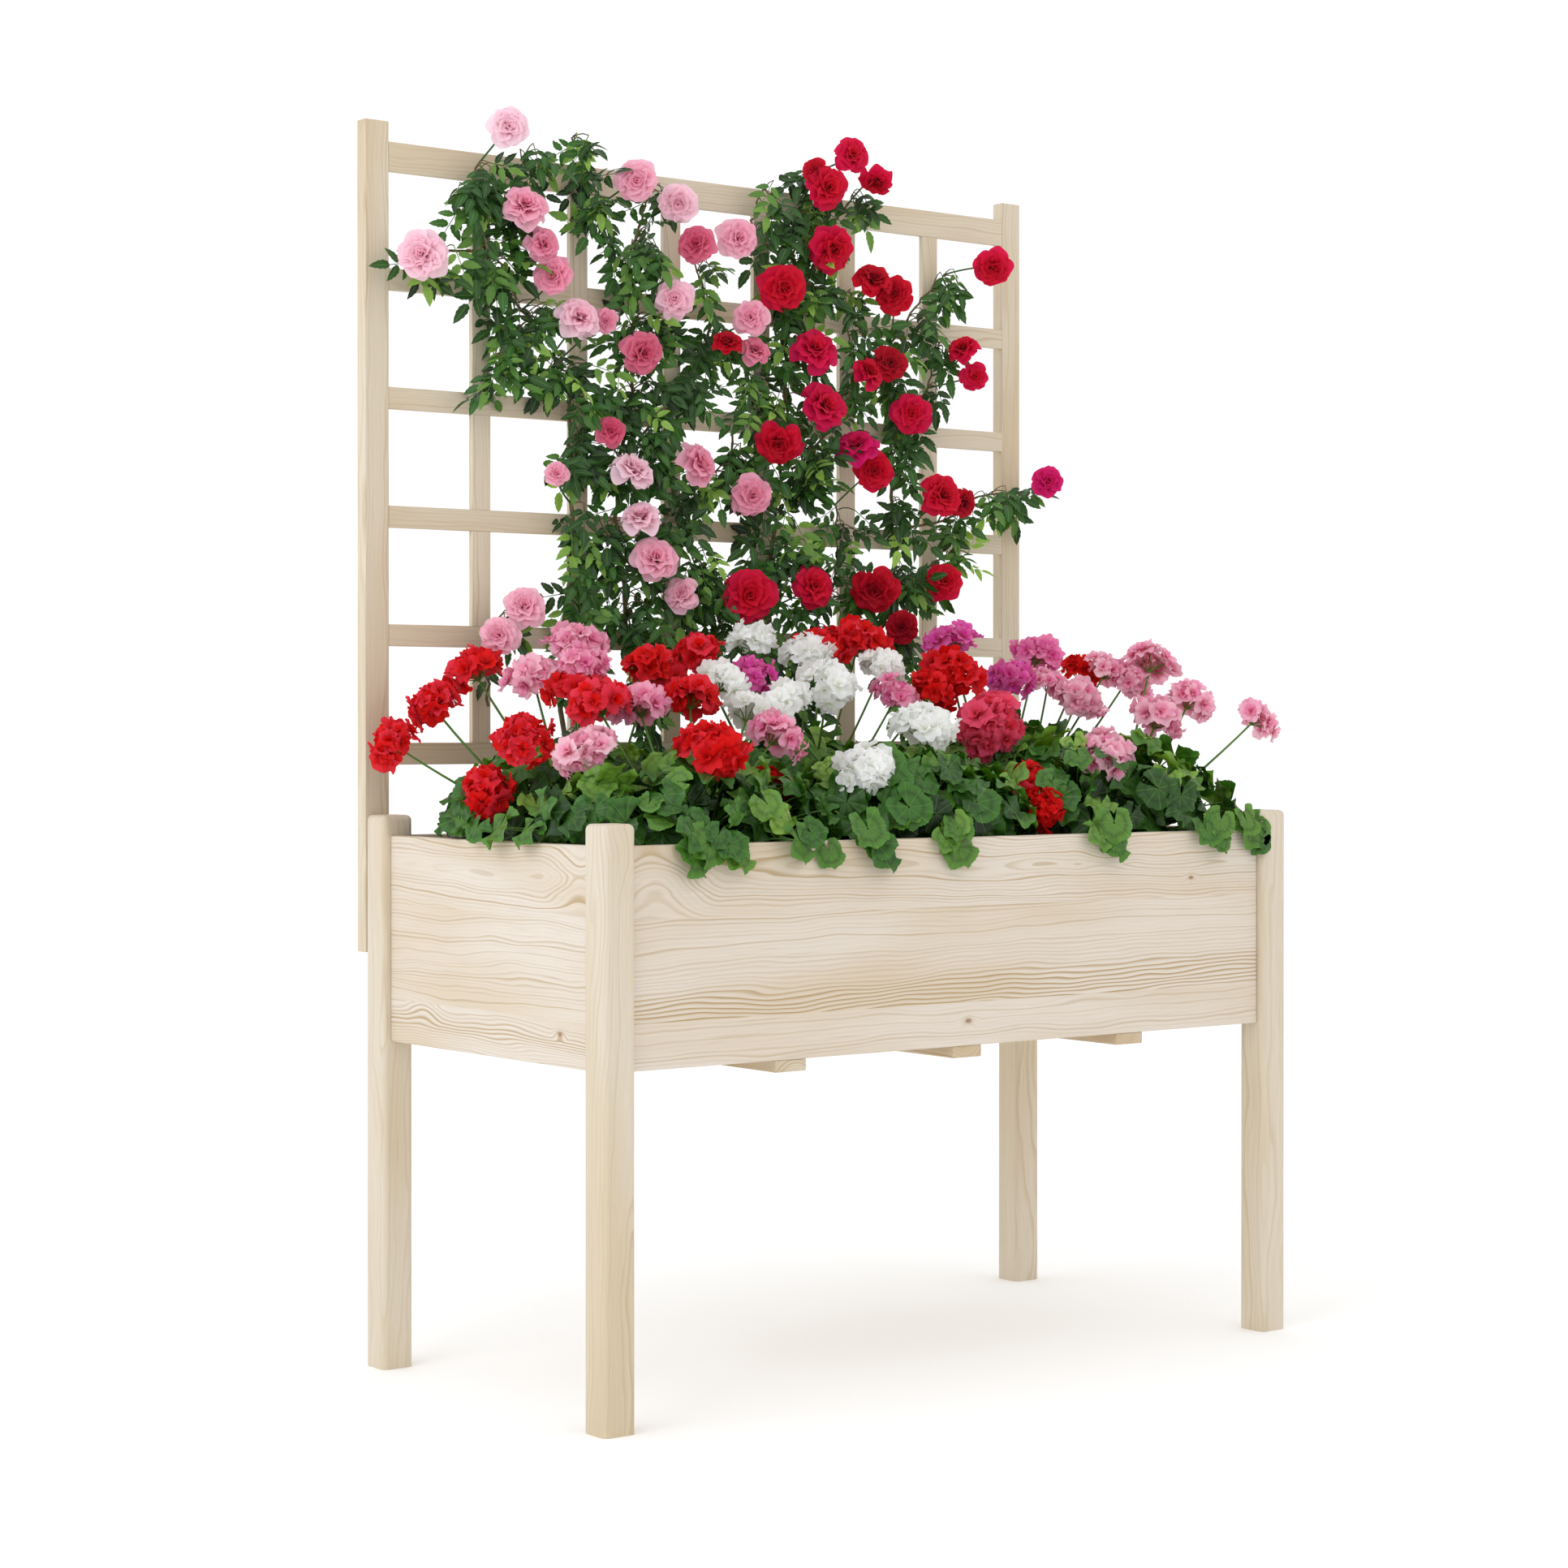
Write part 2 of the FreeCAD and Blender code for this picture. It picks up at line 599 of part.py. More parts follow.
def make_roses():
    """Climbing roses as plain columns that rise beside the back wall and lean on the trellis."""
    by_wall = rose_y_range(Y_INNER_BACK - LINER_THICKNESS)
    by_trellis = rose_y_range(Y_BACK)
    lattice_bottom = rail_ranges()[-1][0]
    rose_top = POST_TOP - ROSE_TOP_DROP
    levels = (
        (SOIL_TOP, by_wall),
        (WALL_TOP + ROSE_ABOVE_RIM, by_wall),
        (lattice_bottom, by_trellis),
        ((lattice_bottom + rose_top) / 2, by_trellis),
        (rose_top, by_trellis),
    )
    roses = {}
    for name, column in ROSES.items():
        outlines = []
        for (height, y_range), (bay, width) in zip(levels, column):
            x_middle = -RAIL_END + bay * (BAY_WIDTH + LATH_WIDTH)
            outlines.append(level_outline(around(x_middle, width), y_range, height, 1.0))
        roses[name] = Part.makeLoft(outlines, True, True)
    return roses


def make_all():
    """Every node's name and shape."""
    dowels, dowel_holes = panel_dowels()
    pockets, pocket_holes = pocket_screws()
    under_floor, over_floor = bearer_screws(), floor_nails()
    behind, brads, staples = trellis_screws(), lattice_brads(), liner_staples()
    nodes = {}
    nodes.update(make_legs(dowel_holes + pocket_holes + behind))
    nodes.update(make_walls(dowel_holes + pocket_holes + under_floor + staples))
    nodes.update(make_bearers(under_floor + over_floor))
    nodes.update(make_floor(over_floor))
    nodes.update(make_liner_and_soil(staples))
    nodes.update(make_posts(behind))
    nodes.update(make_rails(brads))
    nodes.update(make_laths(brads))
    fixings = {
        "wall_dowels": dowels,
        "wall_pocket_screws": pockets,
        "bearer_screws": under_floor,
        "floor_nails": over_floor,
        "liner_staples": staples,
        "trellis_screws": behind,
        "lattice_brads": brads,
    }
    for name, solids in fixings.items():
        nodes[name] = Part.makeCompound(solids)
    nodes.update(make_geraniums())
    nodes.update(make_roses())
    return nodes


os.makedirs("parts", exist_ok=True)
for node_name, shape in make_all().items():
    if not shape.isValid():
        raise ValueError("%s is not a valid shape" % node_name)
    shape.exportStep("parts/%s.step" % node_name)
    print("%-30s %3d solid(s) %10.1f cm3" % (node_name, len(shape.Solids), shape.Volume / 1000))
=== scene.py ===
"""Looks of a raised pine planter with a lattice trellis, geraniums and climbing roses.

The boards and fixings keep the shapes of the frame and are dressed here in planed pine and steel.
The liner, the soil and the plants stand for the frame's plain solids. Lengths are in metres
unless a name or a comment says millimetres.
"""

import logging
import math
from dataclasses import dataclass, field
from enum import Enum

import bpy
import numpy as np
from mathutils import Matrix, Vector


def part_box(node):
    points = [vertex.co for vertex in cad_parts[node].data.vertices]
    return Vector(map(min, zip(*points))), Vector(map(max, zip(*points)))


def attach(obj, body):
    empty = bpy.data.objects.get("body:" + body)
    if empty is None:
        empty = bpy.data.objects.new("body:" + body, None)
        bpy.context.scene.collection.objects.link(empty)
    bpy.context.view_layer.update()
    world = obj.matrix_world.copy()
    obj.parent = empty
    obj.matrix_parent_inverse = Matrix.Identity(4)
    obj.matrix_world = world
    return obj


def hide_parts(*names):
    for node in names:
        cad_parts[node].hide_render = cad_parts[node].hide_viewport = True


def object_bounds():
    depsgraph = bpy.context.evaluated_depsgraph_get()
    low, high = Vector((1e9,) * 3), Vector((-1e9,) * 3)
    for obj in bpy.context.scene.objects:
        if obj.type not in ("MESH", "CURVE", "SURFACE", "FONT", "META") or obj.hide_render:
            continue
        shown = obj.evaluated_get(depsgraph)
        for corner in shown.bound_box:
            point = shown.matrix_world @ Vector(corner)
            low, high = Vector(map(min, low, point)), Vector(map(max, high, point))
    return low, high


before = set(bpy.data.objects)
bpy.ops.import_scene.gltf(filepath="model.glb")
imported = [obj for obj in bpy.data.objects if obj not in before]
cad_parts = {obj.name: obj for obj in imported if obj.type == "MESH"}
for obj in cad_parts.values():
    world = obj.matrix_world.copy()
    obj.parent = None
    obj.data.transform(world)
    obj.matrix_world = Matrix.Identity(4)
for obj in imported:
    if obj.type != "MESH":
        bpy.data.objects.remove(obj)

CAD_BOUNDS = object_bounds()
LOG = logging.getLogger("planter")
MM = 0.001
GOLDEN_ANGLE = math.radians(137.508)
TINY = 1e-9  # keeps a divisor away from zero
MARK = "mark"  # the attribute with a point's place across and along its leaf or petal, and its tint
UP = np.array((0.0, 0.0, 1.0))
FORWARD = np.array((0.0, -1.0, 0.0))
Socket = bpy.types.NodeSocket
Material = bpy.types.Material
Colour = tuple[float, float, float, float]
Triple = tuple[float, float, float]
Array = np.ndarray
MIX_FACTOR, MIX_A, MIX_B, MIX_RESULT = 0, 6, 7, 2  # a colour Mix node's sockets
COLOURS = {"data_type": "RGBA"}  # lets a Mix node mix colours
SMOOTH = {"interpolation_type": "SMOOTHSTEP"}  # for a Map Range node


# ---- Materials and pieces ----
def linear(hex_colour: str) -> Colour:
    """Turns an sRGB hex colour into linear light.

    Args:
        hex_colour: The colour, as "#RRGGBB".

    Returns:
        Red, green, blue and a full alpha.
    """
    parts = [int(hex_colour[start : start + 2], 16) / 255 for start in (1, 3, 5)]
    red, green, blue = (p / 12.92 if p <= 0.04045 else ((p + 0.055) / 1.055) ** 2.4 for p in parts)
    return (red, green, blue, 1.0)


class Surface:
    """A material in the making: one Principled shader and the nodes that feed it."""

    def __init__(self, name: str, **constants: float | Colour) -> None:
        """Starts the material.

        Args:
            name: The material's name.
            **constants: The shader's constant inputs, with "_" for a space in a socket's name.
        """
        self.material = bpy.data.materials.new(name)
        self.material.use_nodes = True
        self.tree = self.material.node_tree
        self.shader = self.tree.nodes["Principled BSDF"]
        for socket, value in constants.items():
            self.shader.inputs[socket.replace("_", " ")].default_value = value

    def add(self, kind: str, values: dict | None = None, output: int | str = 0) -> Socket:
        """Adds a shader node with its settings and links.

        Args:
            kind: The node's type, without "ShaderNode".
            values: Settings, constants and linked sockets, by property name, input name or input
                number. "stops" are a ramp's positions and hex colours.
            output: The output to give back.

        Returns:
            The output socket.
        """
        node = self.tree.nodes.new("ShaderNode" + kind)
        for name, value in (values or {}).items():
            if name == "stops":
                elements = node.color_ramp.elements
                while len(elements) < len(value):
                    elements.new(1.0)
                for element, (position, colour) in zip(elements, value):
                    element.position = position
                    element.color = linear(colour)
            elif isinstance(name, str) and hasattr(node, name):
                setattr(node, name, value)
            elif isinstance(value, Socket):
                self.tree.links.new(value, node.inputs[name])
            else:
                node.inputs[name].default_value = value
        return node.outputs[output]

    def let_light_through(self, colour: Socket, share: float) -> None:
        """Mixes light from behind into a thin leaf or petal.

        Args:
            colour: The colour of the light that comes through.
            share: How much of the light comes through.
        """
        behind = self.add("BsdfTranslucent", {"Color": colour})
        mix = self.add("MixShader", {0: share, 1: self.shader.outputs[0], 2: behind})
        self.tree.links.new(mix, self.tree.nodes["Material Output"].inputs["Surface"])

    def finished(self, **sockets: Socket) -> Material:
        """Links the last nodes to the shader.

        Args:
            **sockets: The shader's linked inputs, with "_" for a space in a socket's name.

        Returns:
            The material.
        """
        for name, socket in sockets.items():
            self.tree.links.new(socket, self.shader.inputs[name.replace("_", " ")])
        return self.material


def dress(nodes: tuple[str, ...], material: Material) -> None:
    """Puts a material on every slot of some of the frame's nodes.

    Args:
        nodes: The nodes.
        material: The material.
    """
    for name in nodes:
        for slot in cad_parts[name].material_slots:
            slot.material = material
    LOG.info("%s on %s", material.name, ", ".join(nodes))


def add_object(name: str, data: bpy.types.ID) -> bpy.types.Object:
    """Puts a mesh, a lamp or a camera in the scene.

    Args:
        name: The object's name.
        data: What it shows.

    Returns:
        The object.
    """
    thing = bpy.data.objects.new(name, data)
    bpy.context.scene.collection.objects.link(thing)
    return thing


def add_mesh(
    name: str, points: Array, quads: Array, material: Material, wide: tuple[Array, ...] = ()
) -> bpy.types.Object:
    """Makes a smooth mesh and puts it in the scene.

    Args:
        name: The object's name.
        points: The points.
        quads: Four point numbers for each quad.
        material: The finish.
        wide: The point numbers of each face with more corners.

    Returns:
        The object.
    """
    corners = np.concatenate([quads.ravel(), *wide]).astype(np.int32)
    sizes = np.array([4] * len(quads) + [len(face) for face in wide], dtype=np.int32)
    mesh = bpy.data.meshes.new(name)
    mesh.vertices.add(len(points))
    mesh.vertices.foreach_set("co", points.astype(np.float32).ravel())
    mesh.loops.add(len(corners))
    mesh.loops.foreach_set("vertex_index", corners)
    mesh.polygons.add(len(sizes))
    mesh.polygons.foreach_set("loop_start", (np.cumsum(sizes) - sizes).astype(np.int32))
    mesh.polygons.foreach_set("use_smooth", np.ones(len(sizes), dtype=bool))
    mesh.update(calc_edges=True)
    mesh.materials.append(material)
    return add_object(name, mesh)


def stand_for(piece: bpy.types.Object, node: str) -> None:
    """Lets a piece ride on the body and stand for a node.

    Args:
        piece: The piece.
        node: The frame's node.
    """
    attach(piece, "root")
    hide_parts(node)


# ---- Pine ----
class Axis(Enum):
    """The way that a board's grain runs, as a number of a coordinate."""

    X = 0
    Y = 1
    Z = 2

    def upright(self) -> Matrix:
        """The turn that stands this axis up.

        Returns:
            A 3 by 3 matrix.
        """
        if self is Axis.X:
            return Matrix.Rotation(-math.pi / 2, 3, "Y")
        if self is Axis.Y:
            return Matrix.Rotation(math.pi / 2, 3, "X")
        return Matrix.Identity(3)


@dataclass(frozen=True)
class PineTone:
    """The colours of one lot of pine."""

    early: str  # the wide, pale part of each year's ring
    late: str  # the thin, dense line that ends it
    blush: str  # slow patches where the board is warmer
    streak: str  # short resin streaks


@dataclass(frozen=True)
class Sawing:
    """How one kind of board is sawn. The pith's distance is from its middle, in millimetres."""

    part: str  # found in the names of its nodes
    tone: PineTone
    through: tuple[float, float]  # the pith's distance through the thickness
    across: tuple[float, float]  # the pith's distance across the width
    contrast: float


@dataclass(frozen=True)
class Branch:
    """A branch that the rings bulge round: a swirl where it lies below the face, or a knot.

    Its place is from the low side, the middle or the high side (-1, 0, 1) of its board, in X, Y
    and Z. Lengths are in millimetres.
    """

    sides: tuple[int, int, int]
    shift: Triple
    reach: float
    lift: float
    knot: float = 0.0  # the width of the knot, where it shows

    def place(self, low: Vector, high: Vector) -> Triple:
        """Finds the branch in its board.

        Args:
            low: The board's lowest corner.
            high: The board's highest corner.

        Returns:
            The place, in metres.
        """
        starts = {-1: low, 0: (low + high) / 2, 1: high}
        return tuple(starts[self.sides[axis]][axis] + self.shift[axis] * MM for axis in range(3))


WALL_PINE = PineTone("#D9CEC0", "#AE9266", "#D1C0A8", "#A18158")
SAWINGS = (
    Sawing("leg_", PineTone("#D4C8B4", "#B59C75", "#CCBA9C", "#A08058"), (30, 70), (15, 60), 0.5),
    Sawing("_top_stave", WALL_PINE, (14, 24), (-12, 12), 0.85),
    Sawing("_middle_stave", WALL_PINE, (20, 40), (95, 130), 0.62),
    Sawing("_bottom_stave", WALL_PINE, (15, 30), (48, 62), 0.5),
    Sawing("floor_", PineTone("#CEC0A8", "#B0946C", "#C2AB88", "#8F7048"), (20, 40), (-30, 30), 0.8),
    Sawing("trellis_", PineTone("#D3C6AF", "#B19872", "#C9B595", "#957650"), (25, 60), (30, 80), 0.5),
)
BRANCHES = {
    "front_wall_bottom_stave": (Branch((0, -1, 0), (0, 0, 4), 14.4, 9.0, knot=9.0),),
    "front_wall_top_stave": (
        Branch((0, -1, 0), (420, 0, -20), 11.2, 7.0, knot=7.0),
        Branch((-1, -1, 0), (34, 0, 2), 66.0, 36.0),
        Branch((0, -1, 0), (260, 0, 22), 40.0, 10.0),
    ),
    "left_wall_bottom_stave": (
        Branch((-1, -1, 0), (0, 70, 12), 12.8, 8.0, knot=8.0),
        Branch((-1, 1, 1), (0, -90, -6), 34.0, 10.0),
    ),
    "left_wall_top_stave": (Branch((-1, -1, 0), (0, 22, 6), 58.0, 26.0),),
    "leg_front_left": (Branch((1, -1, 1), (-12, 0, -40), 40.0, 12.0),),
}


@dataclass(frozen=True)
class PlanedPine:
    """Bare pine, planed and sanded: pale earlywood with thin, smoother and darker latewood lines.

    The rings are shells round a slightly bent pith line outside the board, so that flat-sawn
    boards show arches, edge-sawn boards show straight lines and end grain shows arcs.
    """

    name: str
    tone: PineTone
    grain: Axis
    pith: Triple  # a point on the pith line, in millimetres
    tilt: tuple[float, float]  # of the pith line to the board, in degrees
    ring: float  # a year's growth, in millimetres
    contrast: float
    year_shift: float  # moves the years of strong growth
    dense: tuple[float, float] | None  # radii between which latewood is thick and dark
    branches: tuple[tuple[Triple, Branch], ...]

    def material(self) -> Material:
        """Builds the material.

        Returns:
            The material.
        """
        wood = Surface(self.name, IOR=1.52)
        place = wood.add("TexCoord", output="Object")
        across, along = (math.radians(angle) for angle in self.tilt)
        turn = Matrix.Rotation(across, 3, "X") @ Matrix.Rotation(along, 3, "Y") @ self.grain.upright()
        to_trunk = {"Scale": (1000, 1000, 1000), "Rotation": turn.to_euler()}
        to_trunk |= {"Location": -(turn @ Vector(self.pith)), "Vector": place}
        trunk = wood.add("Mapping", to_trunk)
        line, shade = self._latewood(wood, self._ring_radius(wood, trunk, place))
        fibre = self._noise(wood, trunk, (1.1, 1.1, 70), 3.0)
        patch = self._noise(wood, trunk, (90, 90, 420), 1.5)
        colour = self._tint(wood, patch, (0.42, 0.72), linear(self.tone.early), self.tone.blush)
        late = {MIX_FACTOR: shade, MIX_A: colour, MIX_B: linear(self.tone.late)}
        colour = wood.add("Mix", COLOURS | late, MIX_RESULT)
        streaks = self._noise(wood, trunk, (3.2, 3.2, 120), 2.0)
        colour = self._tint(wood, streaks, (0.66, 0.86), colour, self.tone.streak, 0.45)
        window = {"From Min": 0.3, "From Max": 0.7, "To Min": 0.955, "To Max": 1.035}
        value = wood.add("MapRange", window | {0: fibre})
        colour = wood.add("HueSaturation", {"Color": colour, "Value": value})
        for middle, branch in self.branches:
            if branch.knot:
                halo = self._near(wood, place, middle, 1.2 * branch.knot)
                colour = self._tint(wood, halo, (0.1, 1.0), colour, "#A98455", 0.4)
                core = self._near(wood, place, middle, 0.55 * branch.knot)
                colour = self._tint(wood, core, (0.1, 0.6), colour, "#7D5835", 0.7)
        rough = wood.add("MapRange", {"To Min": 0.62, "To Max": 0.5, 0: line})
        relief = wood.add("Math", {"operation": "MULTIPLY_ADD", 0: line, 1: 0.5, 2: fibre})
        bump = wood.add("Bump", {"Strength": 0.35, "Distance": 0.25 * MM, "Height": relief})
        return wood.finished(Base_Color=colour, Roughness=rough, Normal=bump)

    def _noise(self, wood: Surface, trunk: Socket, grain_mm: Triple, detail: float) -> Socket:
        """Noise stretched along the grain.

        Args:
            wood: The material in the making.
            trunk: Coordinates in millimetres, with the third along the grain.
            grain_mm: The size of one patch of noise, across, across and along.
            detail: How many finer layers are added.

        Returns:
            The noise, from 0 to 1.
        """
        sizes = tuple(1 / size for size in grain_mm)
        scaled = wood.add("VectorMath", {"operation": "MULTIPLY", 0: trunk, 1: sizes})
        return wood.add("TexNoise", {"Scale": 1.0, "Detail": detail, "Vector": scaled})

    def _tint(
        self,
        wood: Surface,
        noise: Socket,
        window: tuple[float, float],
        colour: Socket | Colour,
        other: str,
        most: float = 1.0,
    ) -> Socket:
        """Tints the wood where a noise passes through a window.

        Args:
            wood: The material in the making.
            noise: The noise.
            window: The noise values where the tint starts and is full.
            colour: The colour so far.
            other: The tint, as a hex colour.
            most: The share of a full tint.

        Returns:
            The colour socket.
        """
        window_values = {"From Min": window[0], "From Max": window[1], "To Max": most}
        share = wood.add("MapRange", window_values | {0: noise})
        tinted = {MIX_FACTOR: share, MIX_A: colour, MIX_B: linear(other)}
        return wood.add("Mix", COLOURS | tinted, MIX_RESULT)

    def _ring_radius(self, wood: Surface, trunk: Socket, place: Socket) -> Socket:
        """The distance from the pith line, in millimetres, with the trunk's slow bends.

        Args:
            wood: The material in the making.
            trunk: Coordinates in millimetres, with the third along the grain.
            place: The object's own coordinates.

        Returns:
            The distance socket.
        """
        slow = wood.add("VectorMath", {"operation": "MULTIPLY", 0: trunk, 1: (1 / 60, 1 / 60, 1 / 260)})
        bends = wood.add("TexNoise", {"Scale": 1.0, "Detail": 2.0, "Vector": slow}, "Color")
        centred = wood.add("VectorMath", {"operation": "SUBTRACT", 0: bends, 1: (0.5, 0.5, 0.5)})
        bend_mm = {"operation": "MULTIPLY_ADD", 0: centred, 1: (34.0, 34.0, 0.0), 2: trunk}
        moved = wood.add("VectorMath", bend_mm)
        flat = wood.add("VectorMath", {"operation": "MULTIPLY", 0: moved, 1: (1.0, 1.0, 0.0)})
        radius = wood.add("VectorMath", {"operation": "LENGTH", 0: flat}, "Value")
        for middle, branch in self.branches:
            near = self._near(wood, place, middle, branch.reach)
            radius = wood.add("Math", {"operation": "MULTIPLY_ADD", 0: near, 1: branch.lift, 2: radius})
        return radius

    def _latewood(self, wood: Surface, radius: Socket) -> tuple[Socket, Socket]:
        """The latewood line at the end of each ring.

        Args:
            wood: The material in the making.
            radius: The distance from the pith line.

        Returns:
            How much of a point is latewood, and the same times the contrast of its ring.
        """
        count = wood.add("Math", {"operation": "DIVIDE", 0: radius, 1: self.ring})
        part = wood.add("Math", {"operation": "FRACT", 0: count})
        rise = wood.add("MapRange", SMOOTH | {"From Min": 0.35, "From Max": 0.86, 0: part})
        fall = wood.add("MapRange", SMOOTH | {"From Min": 1.0, "From Max": 0.9, 0: part})
        line = wood.add("Math", {"operation": "MULTIPLY", 0: rise, 1: fall})
        years = wood.add("Math", {"operation": "MULTIPLY_ADD", 0: count, 1: 0.38, 2: self.year_shift})
        year = wood.add("TexNoise", {"noise_dimensions": "1D", "Scale": 1.0, "Detail": 1.0, "W": years})
        window = {"From Min": 0.42, "From Max": 0.7}
        window |= {"To Min": 0.14 * self.contrast, "To Max": self.contrast}
        strength = wood.add("MapRange", window | {0: year})
        if self.dense:
            inner, outer = self.dense
            starts = wood.add("MapRange", SMOOTH | {"From Min": inner - 14, "From Max": inner + 6, 0: radius})
            ends = wood.add("MapRange", SMOOTH | {"From Min": outer + 22, "From Max": outer - 6, 0: radius})
            band = wood.add("Math", {"operation": "MULTIPLY", 0: starts, 1: ends})
            strength = wood.add("Math", {"operation": "MAXIMUM", 0: strength, 1: band})
        return line, wood.add("Math", {"operation": "MULTIPLY", 0: line, 1: strength})

    def _near(self, wood: Surface, place: Socket, middle: Triple, reach: float) -> Socket:
        """How near a point is to a middle: 1 there, 0 at its reach and beyond.

        Args:
            wood: The material in the making.
            place: The object's own coordinates.
            middle: The middle, in metres.
            reach: The reach across the grain, in millimetres.

        Returns:
            The nearness socket.
        """
        stretch = [1000.0, 1000.0, 1000.0]
        stretch[self.grain.value] = 560.0  # branches and their swirls are longer along the grain
        away = wood.add("VectorMath", {"operation": "SUBTRACT", 0: place, 1: middle})
        scaled = wood.add("VectorMath", {"operation": "MULTIPLY", 0: away, 1: tuple(stretch)})
        distance = wood.add("VectorMath", {"operation": "LENGTH", 0: scaled}, "Value")
        return wood.add("MapRange", SMOOTH | {"From Min": reach, "From Max": 0.0, 0: distance})


@dataclass
class Woodwork:
    """The legs, walls, bearers, floor and trellis, each board sawn from its own part of a trunk."""

    seed: int = 11
    tilt_most: float = 1.4  # degrees
    ring_mm: tuple[float, float] = (4.2, 5.6)

    def dress(self) -> None:
        """Gives every wooden node a pine of its own."""
        self.rng = np.random.default_rng(self.seed)
        for name in sorted(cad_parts):  # the floor's nails draw a board too, and get steel later
            sawing = next((one for one in SAWINGS if one.part in name), None)
            if sawing and name != "trellis_screws":
                dress((name,), self._plan(name, sawing).material())

    def _plan(self, name: str, sawing: Sawing) -> PlanedPine:
        """Chooses the grain and the pith line of one board.

        Args:
            name: The node.
            sawing: How its kind is sawn.

        Returns:
            The board's pine.
        """
        low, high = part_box(name)
        sides = sorted(range(3), key=lambda axis: high[axis] - low[axis])
        pith = [(low[axis] + high[axis]) / 2 / MM for axis in range(3)]
        pith[sides[0]] += self.rng.uniform(*sawing.through) * self.rng.choice((-1, 1))
        pith[sides[1]] += self.rng.uniform(*sawing.across) * self.rng.choice((-1, 1))
        tilt = tuple(self.rng.uniform(-self.tilt_most, self.tilt_most, 2))
        dense = (52, 62) if name == "left_wall_bottom_stave" else None
        if name == "front_wall_middle_stave":  # edge-sawn, with its dark years near the lower edge
            pith = [0.0, low.y / MM - 30, low.z / MM - 62]
            tilt, dense = (0.5, 0.9), (64, 100)
        return PlanedPine(
            name="pine_" + name,
            tone=sawing.tone,
            grain=Axis(sides[2]),
            pith=tuple(pith),
            tilt=tilt,
            ring=self.rng.uniform(*self.ring_mm),
            contrast=sawing.contrast,
            year_shift=self.rng.uniform(0, 50),
            dense=dense,
            branches=tuple((branch.place(low, high), branch) for branch in BRANCHES.get(name, ())),
        )


# ---- Fixings ----
@dataclass(frozen=True)
class PlatedSteel:
    """Steel wire or rod, drawn and zinc plated: a soft grey shine with fine, uneven gloss."""

    name: str
    colour: str
    gloss: tuple[float, float]

    def material(self) -> Material:
        """Builds the material.

        Returns:
            The material.
        """
        steel = Surface(self.name, Metallic=1.0)
        place = steel.add("TexCoord", output="Object")
        spangle = steel.add("TexNoise", {"Scale": 900.0, "Detail": 2.0, "Vector": place})
        rough = steel.add("MapRange", {"To Min": self.gloss[0], "To Max": self.gloss[1], 0: spangle})
        value = steel.add("MapRange", {"To Min": 0.85, "To Max": 1.1, 0: spangle})
        tint = steel.add("HueSaturation", {"Color": linear(self.colour), "Value": value})
        return steel.finished(Base_Color=tint, Roughness=rough)


@dataclass(frozen=True)
class BeechDowel:
    """Turned beech: pinkish brown with short dark flecks."""

    name: str = "turned_beech"

    def material(self) -> Material:
        """Builds the material.

        Returns:
            The material.
        """
        beech = Surface(self.name, Roughness=0.6, IOR=1.52)
        place = beech.add("TexCoord", output="Object")
        flecks = beech.add("TexNoise", {"Scale": 700.0, "Detail": 3.0, "Vector": place})
        stops = ((0.35, "#A97F55"), (0.6, "#CFAA7E"))
        return beech.finished(Base_Color=beech.add("ValToRGB", {"stops": stops, 0: flecks}))


# ---- Small shapes that are copied many times ----
def unit(vector: Array) -> Array:
    """The vector at length one."""
    return vector / max(float(np.linalg.norm(vector)), TINY)


def direction(polar: float, turn: float) -> Array:
    """The unit vector at an angle from +Z, turned about it."""
    side = math.sin(polar)
    return np.array((side * math.cos(turn), side * math.sin(turn), math.cos(polar)))


def facing(normal: Array, tip: Array) -> Array:
    """A turn that lays a leaf or petal out.

    Args:
        normal: Where its upper face looks.
        tip: Roughly where its tip points.

    Returns:
        A 3 by 3 matrix: its columns are the shape's side, tip and upper face.
    """
    up = unit(normal)
    along = unit(tip - up * float(tip @ up))
    return np.column_stack((np.cross(along, up), along, up))


def grid_quads(rows: int, columns: int, closed: bool = False) -> Array:
    """The quads of a grid of points.

    Args:
        rows: Rows of points.
        columns: Points in a row.
        closed: True if each row is a closed ring.

    Returns:
        Four point numbers for each quad.
    """
    column = np.arange(columns if closed else columns - 1)
    after = (column + 1) % columns
    start = np.arange(rows - 1)[:, None] * columns
    corners = [start + column, start + after, start + columns + after, start + columns + column]
    return np.stack(corners, axis=-1).reshape(-1, 4)


@dataclass
class Shape:
    """A small mesh of quads, with each point's marks: across, along and a shift of its tint."""

    points: Array
    quads: Array
    marks: Array

    @classmethod
    def laid_out(cls, x: Array, y: Array, height: Array, across: Array, along: Array) -> "Shape":
        """Makes a leaf or petal from a grid of points.

        Args:
            x: Sideways places.
            y: Places from its base to its tip.
            height: Heights, for the whole grid.
            across: The first mark, from 0 to 1.
            along: The second mark, from 0 to 1.

        Returns:
            The leaf or petal.
        """
        points = np.stack(np.broadcast_arrays(x, y, height), axis=-1).reshape(-1, 3)
        marks = np.stack(np.broadcast_arrays(across, along, np.zeros_like(height)), axis=-1)
        return cls(points, grid_quads(*height.shape), marks.reshape(-1, 3))

    def placed(self, turn: Array, place: Array, size: float, tint: float = 0.0) -> "Shape":
        """A turned, scaled and moved copy.

        Args:
            turn: A 3 by 3 matrix.
            place: Where the shape's origin goes.
            size: The scale.
            tint: Added to the tint of every point.

        Returns:
            The copy.
        """
        marks = self.marks + np.array((0.0, 0.0, tint))
        return Shape(self.points @ turn.T * size + place, self.quads, marks)


